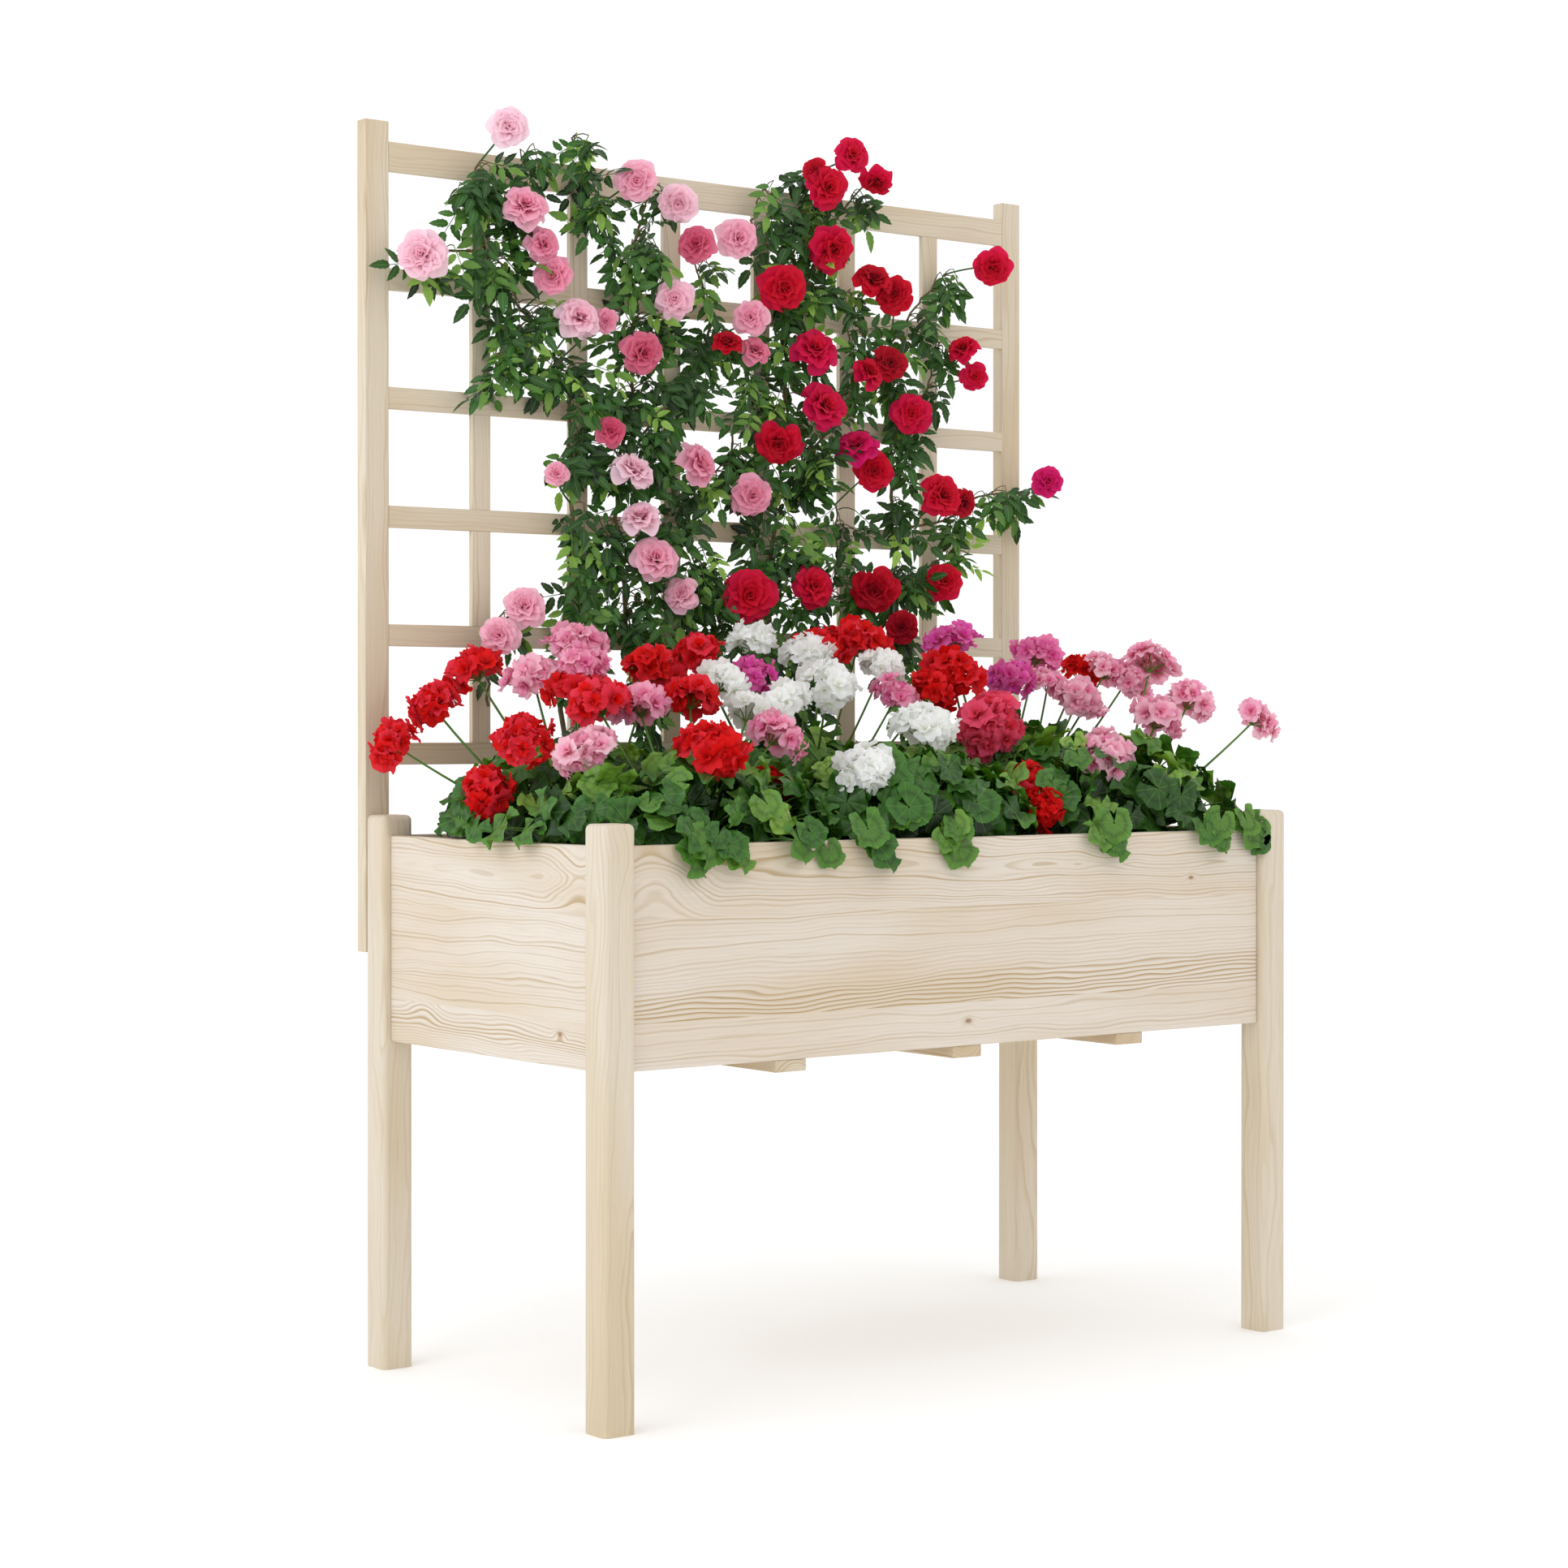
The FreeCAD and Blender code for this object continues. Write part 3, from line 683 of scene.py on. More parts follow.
def joined(shapes: list[Shape]) -> Shape:
    """Puts shapes together as one.

    Args:
        shapes: The shapes.

    Returns:
        One shape.
    """
    starts = np.cumsum([0] + [len(shape.points) for shape in shapes[:-1]])
    return Shape(
        np.concatenate([shape.points for shape in shapes]),
        np.concatenate([shape.quads + start for shape, start in zip(shapes, starts)]),
        np.concatenate([shape.marks for shape in shapes]),
    )


def tube(path: Array, radii: tuple[float, float], sides: int, tint: float) -> Shape:
    """A stem along a path, thinning evenly.

    Args:
        path: The points of its middle line.
        radii: The radius at its start and its end.
        sides: How many flat sides it has.
        tint: The tint of all its points.

    Returns:
        The stem.
    """
    ways = np.gradient(path, axis=0)
    ways /= np.maximum(np.linalg.norm(ways, axis=1, keepdims=True), TINY)
    helper = np.array((0.31, 0.87, 0.38)) if abs(ways[0][2]) > 0.5 else UP
    across = np.cross(ways, helper)
    across /= np.maximum(np.linalg.norm(across, axis=1, keepdims=True), TINY)
    other = np.cross(across, ways)
    angle = np.arange(sides) * 2 * math.pi / sides
    radius = np.linspace(radii[0], radii[1], len(path))[:, None, None]
    ring = np.cos(angle)[None, :, None] * across[:, None] + np.sin(angle)[None, :, None] * other[:, None]
    points = (path[:, None] + ring * radius).reshape(-1, 3)
    along = np.repeat(np.linspace(0, 1, len(path)), sides)
    marks = np.stack([np.tile(angle / (2 * math.pi), len(path)), along, np.full(len(along), tint)], 1)
    return Shape(points, grid_quads(len(path), sides, closed=True), marks)


def bow(start: Array, bend: Array, end: Array, count: int) -> Array:
    """The points of a smooth arch.

    Args:
        start: Its first point.
        bend: The point that it is drawn towards.
        end: Its last point.
        count: How many points it has.

    Returns:
        The points.
    """
    share = np.linspace(0, 1, count)[:, None]
    return start * (1 - share) ** 2 + bend * 2 * share * (1 - share) + end * share**2


@dataclass
class Clearance:
    """Keeps leaves, petals and stems out of the boards and inside a box a little larger than the frame."""

    gap: float = 1.5 * MM
    lattice_gap: float = 1.0 * MM
    share: float = 0.03  # how far leaves, petals and stems can stand out past each side of the frame, as a part of that side
    extra: float = 8 * MM

    def __post_init__(self) -> None:
        """Collects the boxes of the boards round the plants."""
        names = [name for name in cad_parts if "leg_" in name or "_wall_top_stave" in name]
        self.boards = [tuple(np.array(corner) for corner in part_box(name)) for name in sorted(names)]
        self.lattice_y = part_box("trellis_lath_1")[0].y - self.lattice_gap
        self.lattice_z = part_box("trellis_rail_6")[0].z
        low, high = (np.array(corner) for corner in CAD_BOUNDS)
        room = (high - low) * self.share + self.extra
        self.low, self.high = low - room, high + room

    def moved(self, points: Array) -> Array:
        """Lifts or pushes points out of boards.

        Args:
            points: The points.

        Returns:
            The points, clear of the boards.
        """
        points = points.copy()
        for low, high in self.boards:
            low, high = low - self.gap, high + self.gap
            inside = ((points > low) & (points < high)).all(axis=1)
            if not inside.any():
                continue
            thin = int(np.argmin((high - low)[:2]))
            caught = points[inside]
            exits = ((2, high[2]), (thin, high[thin]), (thin, low[thin]))
            ways = np.stack([abs(caught[:, axis] - level) for axis, level in exits])
            for way, (axis, level) in enumerate(exits):
                caught[ways.argmin(axis=0) == way, axis] = level
            points[inside] = caught
        behind = (points[:, 1] > self.lattice_y) & (points[:, 2] > self.lattice_z)
        points[behind, 1] = self.lattice_y
        return np.clip(points, self.low, self.high)


@dataclass
class Growth:
    """Gathers shapes into one piece of a plant."""

    name: str
    node: str
    slot: str
    material: Material
    shapes: list[Shape] = field(default_factory=list)

    def add(self, shape: Shape) -> None:
        """Adds a shape."""
        self.shapes.append(shape)

    def build(self, clearance: Clearance) -> int:
        """Makes the piece, which rides on the body and stands for its node.

        Args:
            clearance: Moves points out of the woodwork.

        Returns:
            How many quads it has.
        """
        whole = joined(self.shapes)
        piece = add_mesh(self.name, clearance.moved(whole.points), whole.quads, self.material)
        mark = piece.data.attributes.new(MARK, "FLOAT_VECTOR", "POINT")
        mark.data.foreach_set("vector", whole.marks.astype(np.float32).ravel())
        stand_for(piece, self.node)
        return len(whole.quads)


# ---- Leaves and petals ----
@dataclass(frozen=True)
class GeraniumLeaf:
    """A round leaf with seven shallow lobes, a scalloped edge and soft waves. Its radius is 1."""

    lobes: int = 7
    rings: tuple[float, ...] = (0.05, 0.3, 0.55, 0.78, 0.92, 1.0)
    columns: int = 65
    half_turn: float = math.radians(166)  # from the tip to the notch at the stalk
    lobe_depth: float = 0.09
    scallops: int = 32
    scallop_depth: float = 0.018
    cup: float = 0.40
    ruffle: float = 0.19
    pleat: float = 0.09

    def shape(self, rng: np.random.Generator) -> Shape:
        """Lays out one leaf, with its stalk at the origin and its tip along +Y.

        Args:
            rng: The seeded choice of waves.

        Returns:
            The leaf.
        """
        radius = np.array(self.rings)[:, None]
        share = np.linspace(-1, 1, self.columns)[None, :]
        angle = share * self.half_turn
        lobe = np.cos(self.lobes / 2 * share * math.pi) ** 2
        outline = 1 - self.lobe_depth + self.lobe_depth * lobe**0.5
        outline = outline + self.scallop_depth * np.cos(self.scallops * share * math.pi)
        reach = radius * (1 + (outline - 1) * radius)
        phase, turns = rng.uniform(0, 2 * math.pi, 2), rng.choice((3, 4, 5))
        height = self.cup * rng.uniform(-0.7, 1.0) * radius**2
        height = height + self.ruffle * radius**3 * np.sin(turns * angle + phase[0])
        height = height + 0.35 * self.ruffle * radius**3 * np.sin(9 * angle + phase[1])
        height = height + self.pleat * radius * (0.5 - lobe)
        return Shape.laid_out(reach * np.sin(angle), reach * np.cos(angle), height, (share + 1) / 2, radius)


@dataclass(frozen=True)
class RoseLeaflet:
    """A pointed oval leaflet with a toothed edge, folded along its midrib. Its length is 1."""

    rows: int = 10
    columns: int = 5
    half_width: float = 0.31
    tooth: float = 0.08
    fold: float = 0.24
    droop: float = 0.26

    def shape(self) -> Shape:
        """Lays out one leaflet, from its base at the origin to its tip along +Y.

        Returns:
            The leaflet.
        """
        along = np.linspace(0, 1, self.rows)[:, None]
        side = np.linspace(-1, 1, self.columns)[None, :]
        swell = (along**0.6 * (1 - along) ** 0.95) / 0.51  # 1 where the leaflet is widest
        teeth = 1 + self.tooth * np.where(np.arange(self.rows)[:, None] % 2, 1, -1) * (abs(side) > 0.9)
        x = side * self.half_width * swell * teeth
        height = self.fold * abs(x) - self.droop * along**2
        return Shape.laid_out(x, along, height, (side + 1) / 2, along)


@dataclass(frozen=True)
class Petal:
    """A petal from its narrow base at the origin to its round edge along +Y. Its length is 1."""

    rows: int
    columns: int
    half_width: float
    cup: float  # how far the sides rise towards the flower's middle
    curl: float  # how far the edge rolls back
    wave: float  # waves along the edge
    notch: float  # how deep the edge is cut
    ripple: float = 4.6  # radians of a wave from the middle to a side

    def shape(self, rng: np.random.Generator) -> Shape:
        """Lays out one petal.

        Args:
            rng: The seeded choice of waves.

        Returns:
            The petal.
        """
        along = np.linspace(0, 1, self.rows)[:, None]
        side = np.linspace(-1, 1, self.columns)[None, :]
        width = self.half_width * np.clip(along + 0.06, 0, 1) ** 0.6 * (1 - 0.14 * along**4)
        phase = rng.uniform(0, 2 * math.pi)
        cut = self.notch * along**3 * np.cos(self.ripple * side + phase)
        y = along * (1 - 0.26 * side**2 * along - cut)
        height = self.cup * side**2 * width * 2 - self.curl * np.clip(along - 0.45, 0, 1) ** 2 * 3
        height = height + self.wave * along**2 * np.sin(self.ripple * side + 2 * phase)
        return Shape.laid_out(side * width, y, height, (side + 1) / 2, along)


@dataclass(frozen=True)
class PetalRing:
    """A ring of petals: how many, how far they lean out, their length, and where they start."""

    count: int
    lean: float  # degrees from the flower's axis
    length: float
    start_radius: float
    start_height: float


@dataclass(frozen=True)
class Flower:
    """Rings of petals round an axis along +Z."""

    petal: Petal
    rings: tuple[PetalRing, ...]
    unevenness: float  # degrees

    def shape(self, rng: np.random.Generator) -> Shape:
        """Builds one flower.

        Args:
            rng: The seeded choice of petals.

        Returns:
            The flower.
        """
        petals = []
        for number, ring in enumerate(self.rings):
            shift = 0.22 * (number / (len(self.rings) - 1) - 0.6)  # paler towards the outside
            for place in range(ring.count):
                angle = (place + 0.5 * number) * 2 * math.pi / ring.count
                angle += math.radians(rng.uniform(-1, 1) * self.unevenness)
                lean = math.radians(ring.lean + rng.uniform(-1, 1) * self.unevenness)
                outward = np.array((math.cos(angle), math.sin(angle), 0.0))
                grow = outward * math.sin(lean) + UP * math.cos(lean)
                inner_face = UP * math.sin(lean) - outward * math.cos(lean)
                start = outward * ring.start_radius + UP * ring.start_height
                size = ring.length * rng.uniform(0.86, 1.1)
                petal = self.petal.shape(rng)
                petals.append(petal.placed(facing(inner_face, grow), start, size, shift))
        return joined(petals)


ROSE = Flower(
    Petal(rows=8, columns=9, half_width=0.58, cup=0.30, curl=0.20, wave=0.09, notch=0.03),
    (
        PetalRing(3, 4, 0.40, 0.02, 0.20),
        PetalRing(5, 16, 0.47, 0.07, 0.14),
        PetalRing(5, 30, 0.58, 0.10, 0.10),
        PetalRing(6, 46, 0.72, 0.12, 0.05),
        PetalRing(6, 62, 0.88, 0.12, 0.0),
        PetalRing(6, 78, 1.00, 0.10, -0.04),
        PetalRing(5, 98, 1.04, 0.08, -0.08),
    ),
    unevenness=12.0,
)
FLORET = Flower(
    Petal(rows=6, columns=7, half_width=0.60, cup=0.10, curl=0.08, wave=0.13, notch=0.10),
    (PetalRing(3, 34, 0.66, 0.03, 0.05), PetalRing(5, 70, 1.0, 0.04, 0.0)),
    unevenness=15.0,
)


# ---- Finishes of the plants ----
@dataclass(frozen=True)
class LeafFinish:
    """A living leaf: mottled green, paler veins, a soft gloss, and light that comes through it."""

    name: str
    greens: tuple[str, str, str]  # by tint: old or in painted shade, full grown, and young or in painted light
    vein: str
    roughness: float
    veins: int  # side veins of a leaflet, or lobes of a round leaf
    round_leaf: bool
    through: float = 0.16

    def material(self) -> Material:
        """Builds the material.

        Returns:
            The material.
        """
        leaf = Surface(self.name, Roughness=self.roughness, IOR=1.45, Specular_IOR_Level=0.45)
        marks = leaf.add("Attribute", {"attribute_name": MARK}, "Vector")
        across, along, tint = leaf.add("SeparateXYZ", {0: marks}).node.outputs
        # the tint picks the green and carries painted light and shade as well as age
        green = leaf.add("ValToRGB", {"stops": tuple(zip((0.0, 0.5, 1.0), self.greens)), 0: tint})
        place = leaf.add("TexCoord", output="Object")
        mottle = leaf.add("TexNoise", {"Scale": 110.0, "Detail": 3.0, "Vector": place})
        value = leaf.add("MapRange", {"To Min": 0.78, "To Max": 1.24, 0: mottle})
        colour = leaf.add("HueSaturation", {"Color": green, "Value": value})
        if self.round_leaf:  # a darker zone round the leaf, inside its edge, and a paler rim that is a painted highlight
            greys = ("#E4E4E4", "#EEEEEE", "#BFBFBF", "#EFEFEF", "#FFFFFF")
            stops = tuple(zip((0.0, 0.45, 0.62, 0.76, 1.0), greys))
            shade = leaf.add("ValToRGB", {"stops": stops, 0: along})
            darker = {"blend_type": "MULTIPLY", MIX_FACTOR: 1.0, MIX_A: colour, MIX_B: shade}
            colour = leaf.add("Mix", COLOURS | darker, MIX_RESULT)
        veins = self._round_veins if self.round_leaf else self._feather_veins
        line = veins(leaf, across, along)
        veined = {MIX_FACTOR: line, MIX_A: colour, MIX_B: linear(self.vein)}
        colour = leaf.add("Mix", COLOURS | veined, MIX_RESULT)
        height = leaf.add("Math", {"operation": "SUBTRACT", 0: mottle, 1: line})
        bump = leaf.add("Bump", {"Strength": 0.4, "Distance": 0.5 * MM, "Height": height})
        glow = leaf.add("HueSaturation", {"Saturation": 1.15, "Value": 1.5, "Hue": 0.49, "Color": colour})
        leaf.let_light_through(glow, self.through)
        return leaf.finished(Base_Color=colour, Normal=bump)

    def _round_veins(self, leaf: Surface, across: Socket, along: Socket) -> Socket:
        """Veins that fan out from the stalk, one to each lobe.

        Args:
            leaf: The material in the making.
            across: The angle round the leaf, from 0 to 1.
            along: The part of the radius.

        Returns:
            How much of a point is vein.
        """
        turn = leaf.add("Math", {"operation": "MULTIPLY", 0: across, 1: float(self.veins)})
        part = leaf.add("Math", {"operation": "FRACT", 0: turn})
        away = leaf.add("Math", {"operation": "SUBTRACT", 0: part, 1: 0.5})
        apart = leaf.add("Math", {"operation": "ABSOLUTE", 0: away})
        width = leaf.add("Math", {"operation": "MULTIPLY", 0: apart, 1: along})
        return leaf.add("MapRange", SMOOTH | {"From Min": 0.04, "From Max": 0.0, "To Max": 0.3, 0: width})

    def _feather_veins(self, leaf: Surface, across: Socket, along: Socket) -> Socket:
        """A midrib with slanting side veins.

        Args:
            leaf: The material in the making.
            across: From one side of the leaflet to the other, from 0 to 1.
            along: From its base to its tip.

        Returns:
            How much of a point is vein.
        """
        away = leaf.add("Math", {"operation": "SUBTRACT", 0: across, 1: 0.5})
        apart = leaf.add("Math", {"operation": "ABSOLUTE", 0: away})
        rib = leaf.add("MapRange", SMOOTH | {"From Min": 0.06, "From Max": 0.01, "To Max": 0.6, 0: apart})
        slant = leaf.add("Math", {"operation": "MULTIPLY_ADD", 0: apart, 1: -0.55, 2: 0.5})
        shifted = leaf.add("Math", {"operation": "ADD", 0: along, 1: slant})
        steps = leaf.add("Math", {"operation": "MULTIPLY", 0: shifted, 1: float(self.veins)})
        part = leaf.add("Math", {"operation": "FRACT", 0: steps})
        side = leaf.add("MapRange", SMOOTH | {"From Min": 0.16, "From Max": 0.0, "To Max": 0.25, 0: part})
        return leaf.add("Math", {"operation": "MAXIMUM", 0: rib, 1: side})


@dataclass(frozen=True)
class PetalFinish:
    """A petal: a velvety, finely veined skin, paler or deeper towards its edge, that glows."""

    name: str
    colours: tuple[str, str, str]  # by tint
    base: str  # at the petal's foot
    through: float = 0.36

    def material(self) -> Material:
        """Builds the material.

        Returns:
            The material.
        """
        petal = Surface(self.name, Roughness=0.6, IOR=1.4, Specular_IOR_Level=0.25, Sheen_Weight=0.04)
        marks = petal.add("Attribute", {"attribute_name": MARK}, "Vector")
        _, along, tint = petal.add("SeparateXYZ", {0: marks}).node.outputs
        colour = petal.add("ValToRGB", {"stops": tuple(zip((0.0, 0.5, 1.0), self.colours)), 0: tint})
        stretched = petal.add("VectorMath", {"operation": "MULTIPLY", 0: marks, 1: (26.0, 2.5, 9.0)})
        veins = petal.add("TexNoise", {"Scale": 1.0, "Detail": 2.0, "Vector": stretched})
        value = petal.add("MapRange", {"To Min": 0.92, "To Max": 1.1, 0: veins})
        colour = petal.add("HueSaturation", {"Color": colour, "Value": value})
        foot = petal.add("MapRange", SMOOTH | {"From Min": 0.65, "From Max": 0.0, "To Max": 0.8, 0: along})
        shaded = {MIX_FACTOR: foot, MIX_A: colour, MIX_B: linear(self.base)}
        colour = petal.add("Mix", COLOURS | shaded, MIX_RESULT)
        bump = petal.add("Bump", {"Strength": 0.25, "Distance": 0.3 * MM, "Height": veins})
        petal.let_light_through(colour, self.through)
        return petal.finished(Base_Color=colour, Normal=bump)


@dataclass(frozen=True)
class CaneFinish:
    """The skin of a rose cane: green when young, brown and cracked lengthwise when old."""

    name: str = "rose_cane"

    def material(self) -> Material:
        """Builds the material.

        Returns:
            The material.
        """
        cane = Surface(self.name, Roughness=0.6, IOR=1.45)
        place = cane.add("TexCoord", output="Object")
        bark = cane.add("VectorMath", {"operation": "MULTIPLY", 0: place, 1: (420.0, 420.0, 60.0)})
        cracks = cane.add("TexNoise", {"Scale": 1.0, "Detail": 3.0, "Vector": bark})
        stops = ((0.3, "#4A3B25"), (0.55, "#6B5B36"), (0.8, "#6F7F42"))
        ramp = cane.add("ValToRGB", {"stops": stops, 0: cracks})
        bump = cane.add("Bump", {"Strength": 0.5, "Distance": 0.6 * MM, "Height": cracks})
        return cane.finished(Base_Color=ramp, Normal=bump)


class Bloom(Enum):
    """The colours of the flowers, with the record's slot for each."""

    RED = "geranium_petals_red"
    PINK = "geranium_petals_pink"
    WHITE = "geranium_petals_white"
    ROSE_PINK = "rose_petals_pink"
    ROSE_RED = "rose_petals_red"


PETALS = {
    Bloom.RED: PetalFinish("geranium_petals_scarlet", ("#C40A10", "#E8120F", "#F25A7C"), "#B80A0E"),
    Bloom.PINK: PetalFinish("geranium_petals_rose", ("#E650B4", "#F394BC", "#FCD4DE"), "#D4426F"),
    Bloom.WHITE: PetalFinish("geranium_petals_cream", ("#F6F6F2", "#FDFDFB", "#FFFFFF"), "#EEF1DE", 0.48),
    Bloom.ROSE_PINK: PetalFinish("climbing_rose_blush", ("#DC5478", "#F5A6BF", "#FDE0EA"), "#DF6C92"),
    Bloom.ROSE_RED: PetalFinish("climbing_rose_crimson", ("#90081C", "#DC1030", "#E01E78"), "#A8081F"),
}


# ---- Geraniums ----
@dataclass(frozen=True)
class Head:
    """A head of geranium flowers: along and across the box, above the rim, tint and size.

    along runs from -1 at the left legs to 1 at the right legs, deep from 0 at the front wall to 1
    at the back wall, and lift is in millimetres above the walls.
    """

    along: float
    deep: float
    lift: float
    tint: float = 0.5
    size: float = 1.0


HEADS = {
    Bloom.RED: (
        Head(-1.0, 0.9, 125), Head(-0.9, 0.9, 175), Head(-0.79, 0.9, 225, size=1.05),
        Head(-0.68, 0.61, 200), Head(-0.88, 0.51, 130), Head(-0.92, 0.6, 60), Head(-0.26, 0.74, 250),
        Head(-0.42, 0.7, 225), Head(-0.61, 0.13, 115, 0.45, 1.15), Head(-0.73, 0.42, 175, 0.6),
        Head(-0.48, 0.42, 185), Head(-0.38, 0.23, 70, 0.2, 0.7), Head(0.2, 0.7, 270, 0.5, 1.15),
        Head(0.1, 0.72, 262, 0.45), Head(0.36, 0.51, 225, 0.45, 1.1), Head(0.28, 0.5, 200, 0.4),
        Head(0.86, 0.61, 232, 0.3, 0.85), Head(0.32, 0.1, 30, 0.35, 0.9),
        Head(0.36, 0.36, 160, 1.0, 1.2), Head(0.385, 0.36, 130, 0.95), Head(0.34, 0.19, 70, 0.5, 0.9),
    ),
    Bloom.PINK: (
        Head(-0.57, 0.8, 260, 0.7, 1.05), Head(-0.72, 0.74, 213, 0.7, 1.05), Head(-0.84, 0.29, 115, 0.8),
        Head(-0.62, 0.42, 174, 0.6), Head(-0.37, 0.23, 136, 0.65), Head(0.18, 0.51, 190, 0.5, 0.9),
        Head(0.83, 0.76, 258, 0.3), Head(0.63, 0.61, 217, 0.1), Head(0.57, 0.8, 276, 0.1),
        Head(-0.19, 0.61, 218, 0.05, 0.9), Head(0.75, 0.48, 189, 0.75), Head(0.54, 0.13, 108, 0.75, 1.05),
        Head(0.95, 0.42, 243, 0.75, 0.95), Head(0.86, 0.5, 232, 0.75, 0.85),
        Head(0.73, 0.58, 212, 0.7, 0.8), Head(-0.66, 0.62, 232, 0.6, 0.9), Head(0.9, 0.46, 218, 0.7, 0.9),
        Head(0.81, 0.23, 158, 0.7), Head(0.92, 0.23, 185, 0.75, 0.85), Head(1.0, 0.06, 160, 0.75, 0.85),
    ),
    Bloom.WHITE: (
        Head(-0.06, 0.8, 272, 0.6), Head(0.04, 0.7, 252, 0.6, 0.95), Head(-0.33, 0.51, 208, 0.5, 0.9),
        Head(-0.06, 0.46, 205, 0.7, 1.15), Head(-0.24, 0.4, 175), Head(0.21, 0.61, 232, 0.6, 0.9),
        Head(0.06, 0.23, 144, 0.6, 1.1), Head(-0.2, 0.1, 91, 0.6), Head(-0.32, 0.42, 165, 0.4, 0.9),
    ),
}


@dataclass
class GeraniumBed:
    """Six geraniums in two rows: crowns of leaves on stalks, with flower heads above them."""

    clearance: Clearance
    leaves_each: int = 136
    leaf_radius: tuple[float, float] = (20 * MM, 35 * MM)
    leaf_stalk: tuple[float, float] = (1.5 * MM, 1.05 * MM)
    head_stalk: tuple[float, float] = (2.3 * MM, 1.6 * MM)
    floret_stalk: tuple[float, float] = (0.7 * MM, 0.6 * MM)
    floret_radius: float = 19 * MM
    dome_radius: float = 27 * MM
    florets: int = 17
    floret_stalks: int = 14
    leaf_kinds: int = 9
    head_kinds: int = 7
    seed: int = 21
    overhangs: tuple[float, ...] = (-0.76, -0.71, -0.46, -0.29, -0.03, 0.44, 0.77, 0.88)  # along
    left_overhangs: tuple[float, ...] = (0.30, 0.42, 0.52)  # deep
    hang: float = 11 * MM  # from a wall's outer face to a leaf that hangs over it
    hang_tint: tuple[float, float] = (0.36, 0.68)

    def __post_init__(self) -> None:
        """Reads the box's sizes from the frame, and makes the leaves and heads to copy."""
        self.rng = np.random.default_rng(self.seed)
        front_low, front_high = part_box("front_wall_top_stave")
        left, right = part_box("left_wall_top_stave"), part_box("right_wall_top_stave")
        self.rim, self.front = front_high.z, front_high.y
        self.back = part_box("back_wall_top_stave")[0].y
        self.half_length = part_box("leg_front_right")[1].x
        self.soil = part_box("potting_soil")[1].z
        self.faces = (  # the axis across each wall, with its outer and inner faces
            (1, (front_low.y, front_high.y)),
            (0, (left[0].x, left[1].x)),
            (0, (right[1].x, right[0].x)),
        )
        self.leaf_shapes = [GeraniumLeaf().shape(self.rng) for _ in range(self.leaf_kinds)]
        self.head_shapes = [self._head_shape() for _ in range(self.head_kinds)]

    def _head_shape(self) -> Shape:
        """Builds a dome of florets round +Z, in metres.

        Returns:
            The head.
        """
        parts = []
        stretch = self.rng.uniform((0.85, 0.85, 0.6), (1.2, 1.2, 0.85))
        for number in range(self.florets):
            out = direction(math.acos(1 - (number + 0.5) / self.florets * 1.16), number * GOLDEN_ANGLE)
            axis = unit(out + self.rng.normal(0, 0.3, 3))
            spin = self.rng.normal(0, 1, 3)
            place = out * self.dome_radius * self.rng.uniform(0.74, 1.28) * stretch
            size = self.floret_radius * self.rng.uniform(0.85, 1.15)
            tint = self.rng.uniform(-0.09, 0.09)
            parts.append(FLORET.shape(self.rng).placed(facing(axis, spin), place, size, tint))
        return joined(parts)

    def build(self) -> None:
        """Grows every plant and hangs the leaves over the walls."""
        greens = ("#17340E", "#417626", "#8CB448")
        self.leaf_material = LeafFinish("geranium_leaf", greens, "#7FA450", 0.42, 7, True).material()
        self.petal_materials = {bloom: PETALS[bloom].material() for bloom in HEADS}
        nodes = sorted(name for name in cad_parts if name.startswith("geranium_"))
        middles = {name: np.array(sum(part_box(name), Vector()) / 2) for name in nodes}
        owners = {name: [] for name in nodes}
        for bloom, heads in HEADS.items():
            for head in heads:
                x, y = head.along * self.half_length, self._deep(head.deep)
                place = np.array((x, y, self.rim + head.lift * MM))
                owner = min(nodes, key=lambda name: np.linalg.norm((place - middles[name])[:2]))
                owners[owner].append((bloom, head, place))
        for name in nodes:
            self._grow(name, owners[name])

    def _deep(self, share: float) -> float:
        """The y at a share of the way from the front wall to the back wall."""
        return self.front + share * (self.back - self.front)

    def _grow(self, name: str, heads: list[tuple[Bloom, Head, Array]]) -> None:
        """Grows one plant.

        Args:
            name: The node that the plant stands for.
            heads: Its flower heads, with their colours and places.
        """
        low, high = (np.array(corner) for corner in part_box(name))
        crown = (low + high) / 2
        crown[2] = self.soil
        green = Growth(name + "_leaves", name, "geranium_leaves", self.leaf_material)
        self._add_leaves(green, name, crown, (high - low) / 2)
        flowers = {}
        for bloom, head, place in heads:
            axis = unit((place - crown) * np.array((0.9, 0.9, 0.6)) + UP * 0.10 + FORWARD * 0.04)
            shape = self.head_shapes[self.rng.integers(self.head_kinds)]
            spun = facing(axis, self.rng.normal(0, 1, 3))
            if bloom not in flowers:
                piece = "%s_flowers_%s" % (name, bloom.name.lower())
                flowers[bloom] = Growth(piece, name, bloom.value, self.petal_materials[bloom])
            flowers[bloom].add(shape.placed(spun, place, head.size, head.tint))
            self._add_stalk(green, crown, place, axis, head.size)
        quads = sum(growth.build(self.clearance) for growth in (green, *flowers.values()))
        LOG.info("%s: %d flower heads, %d quads", name, len(heads), quads)

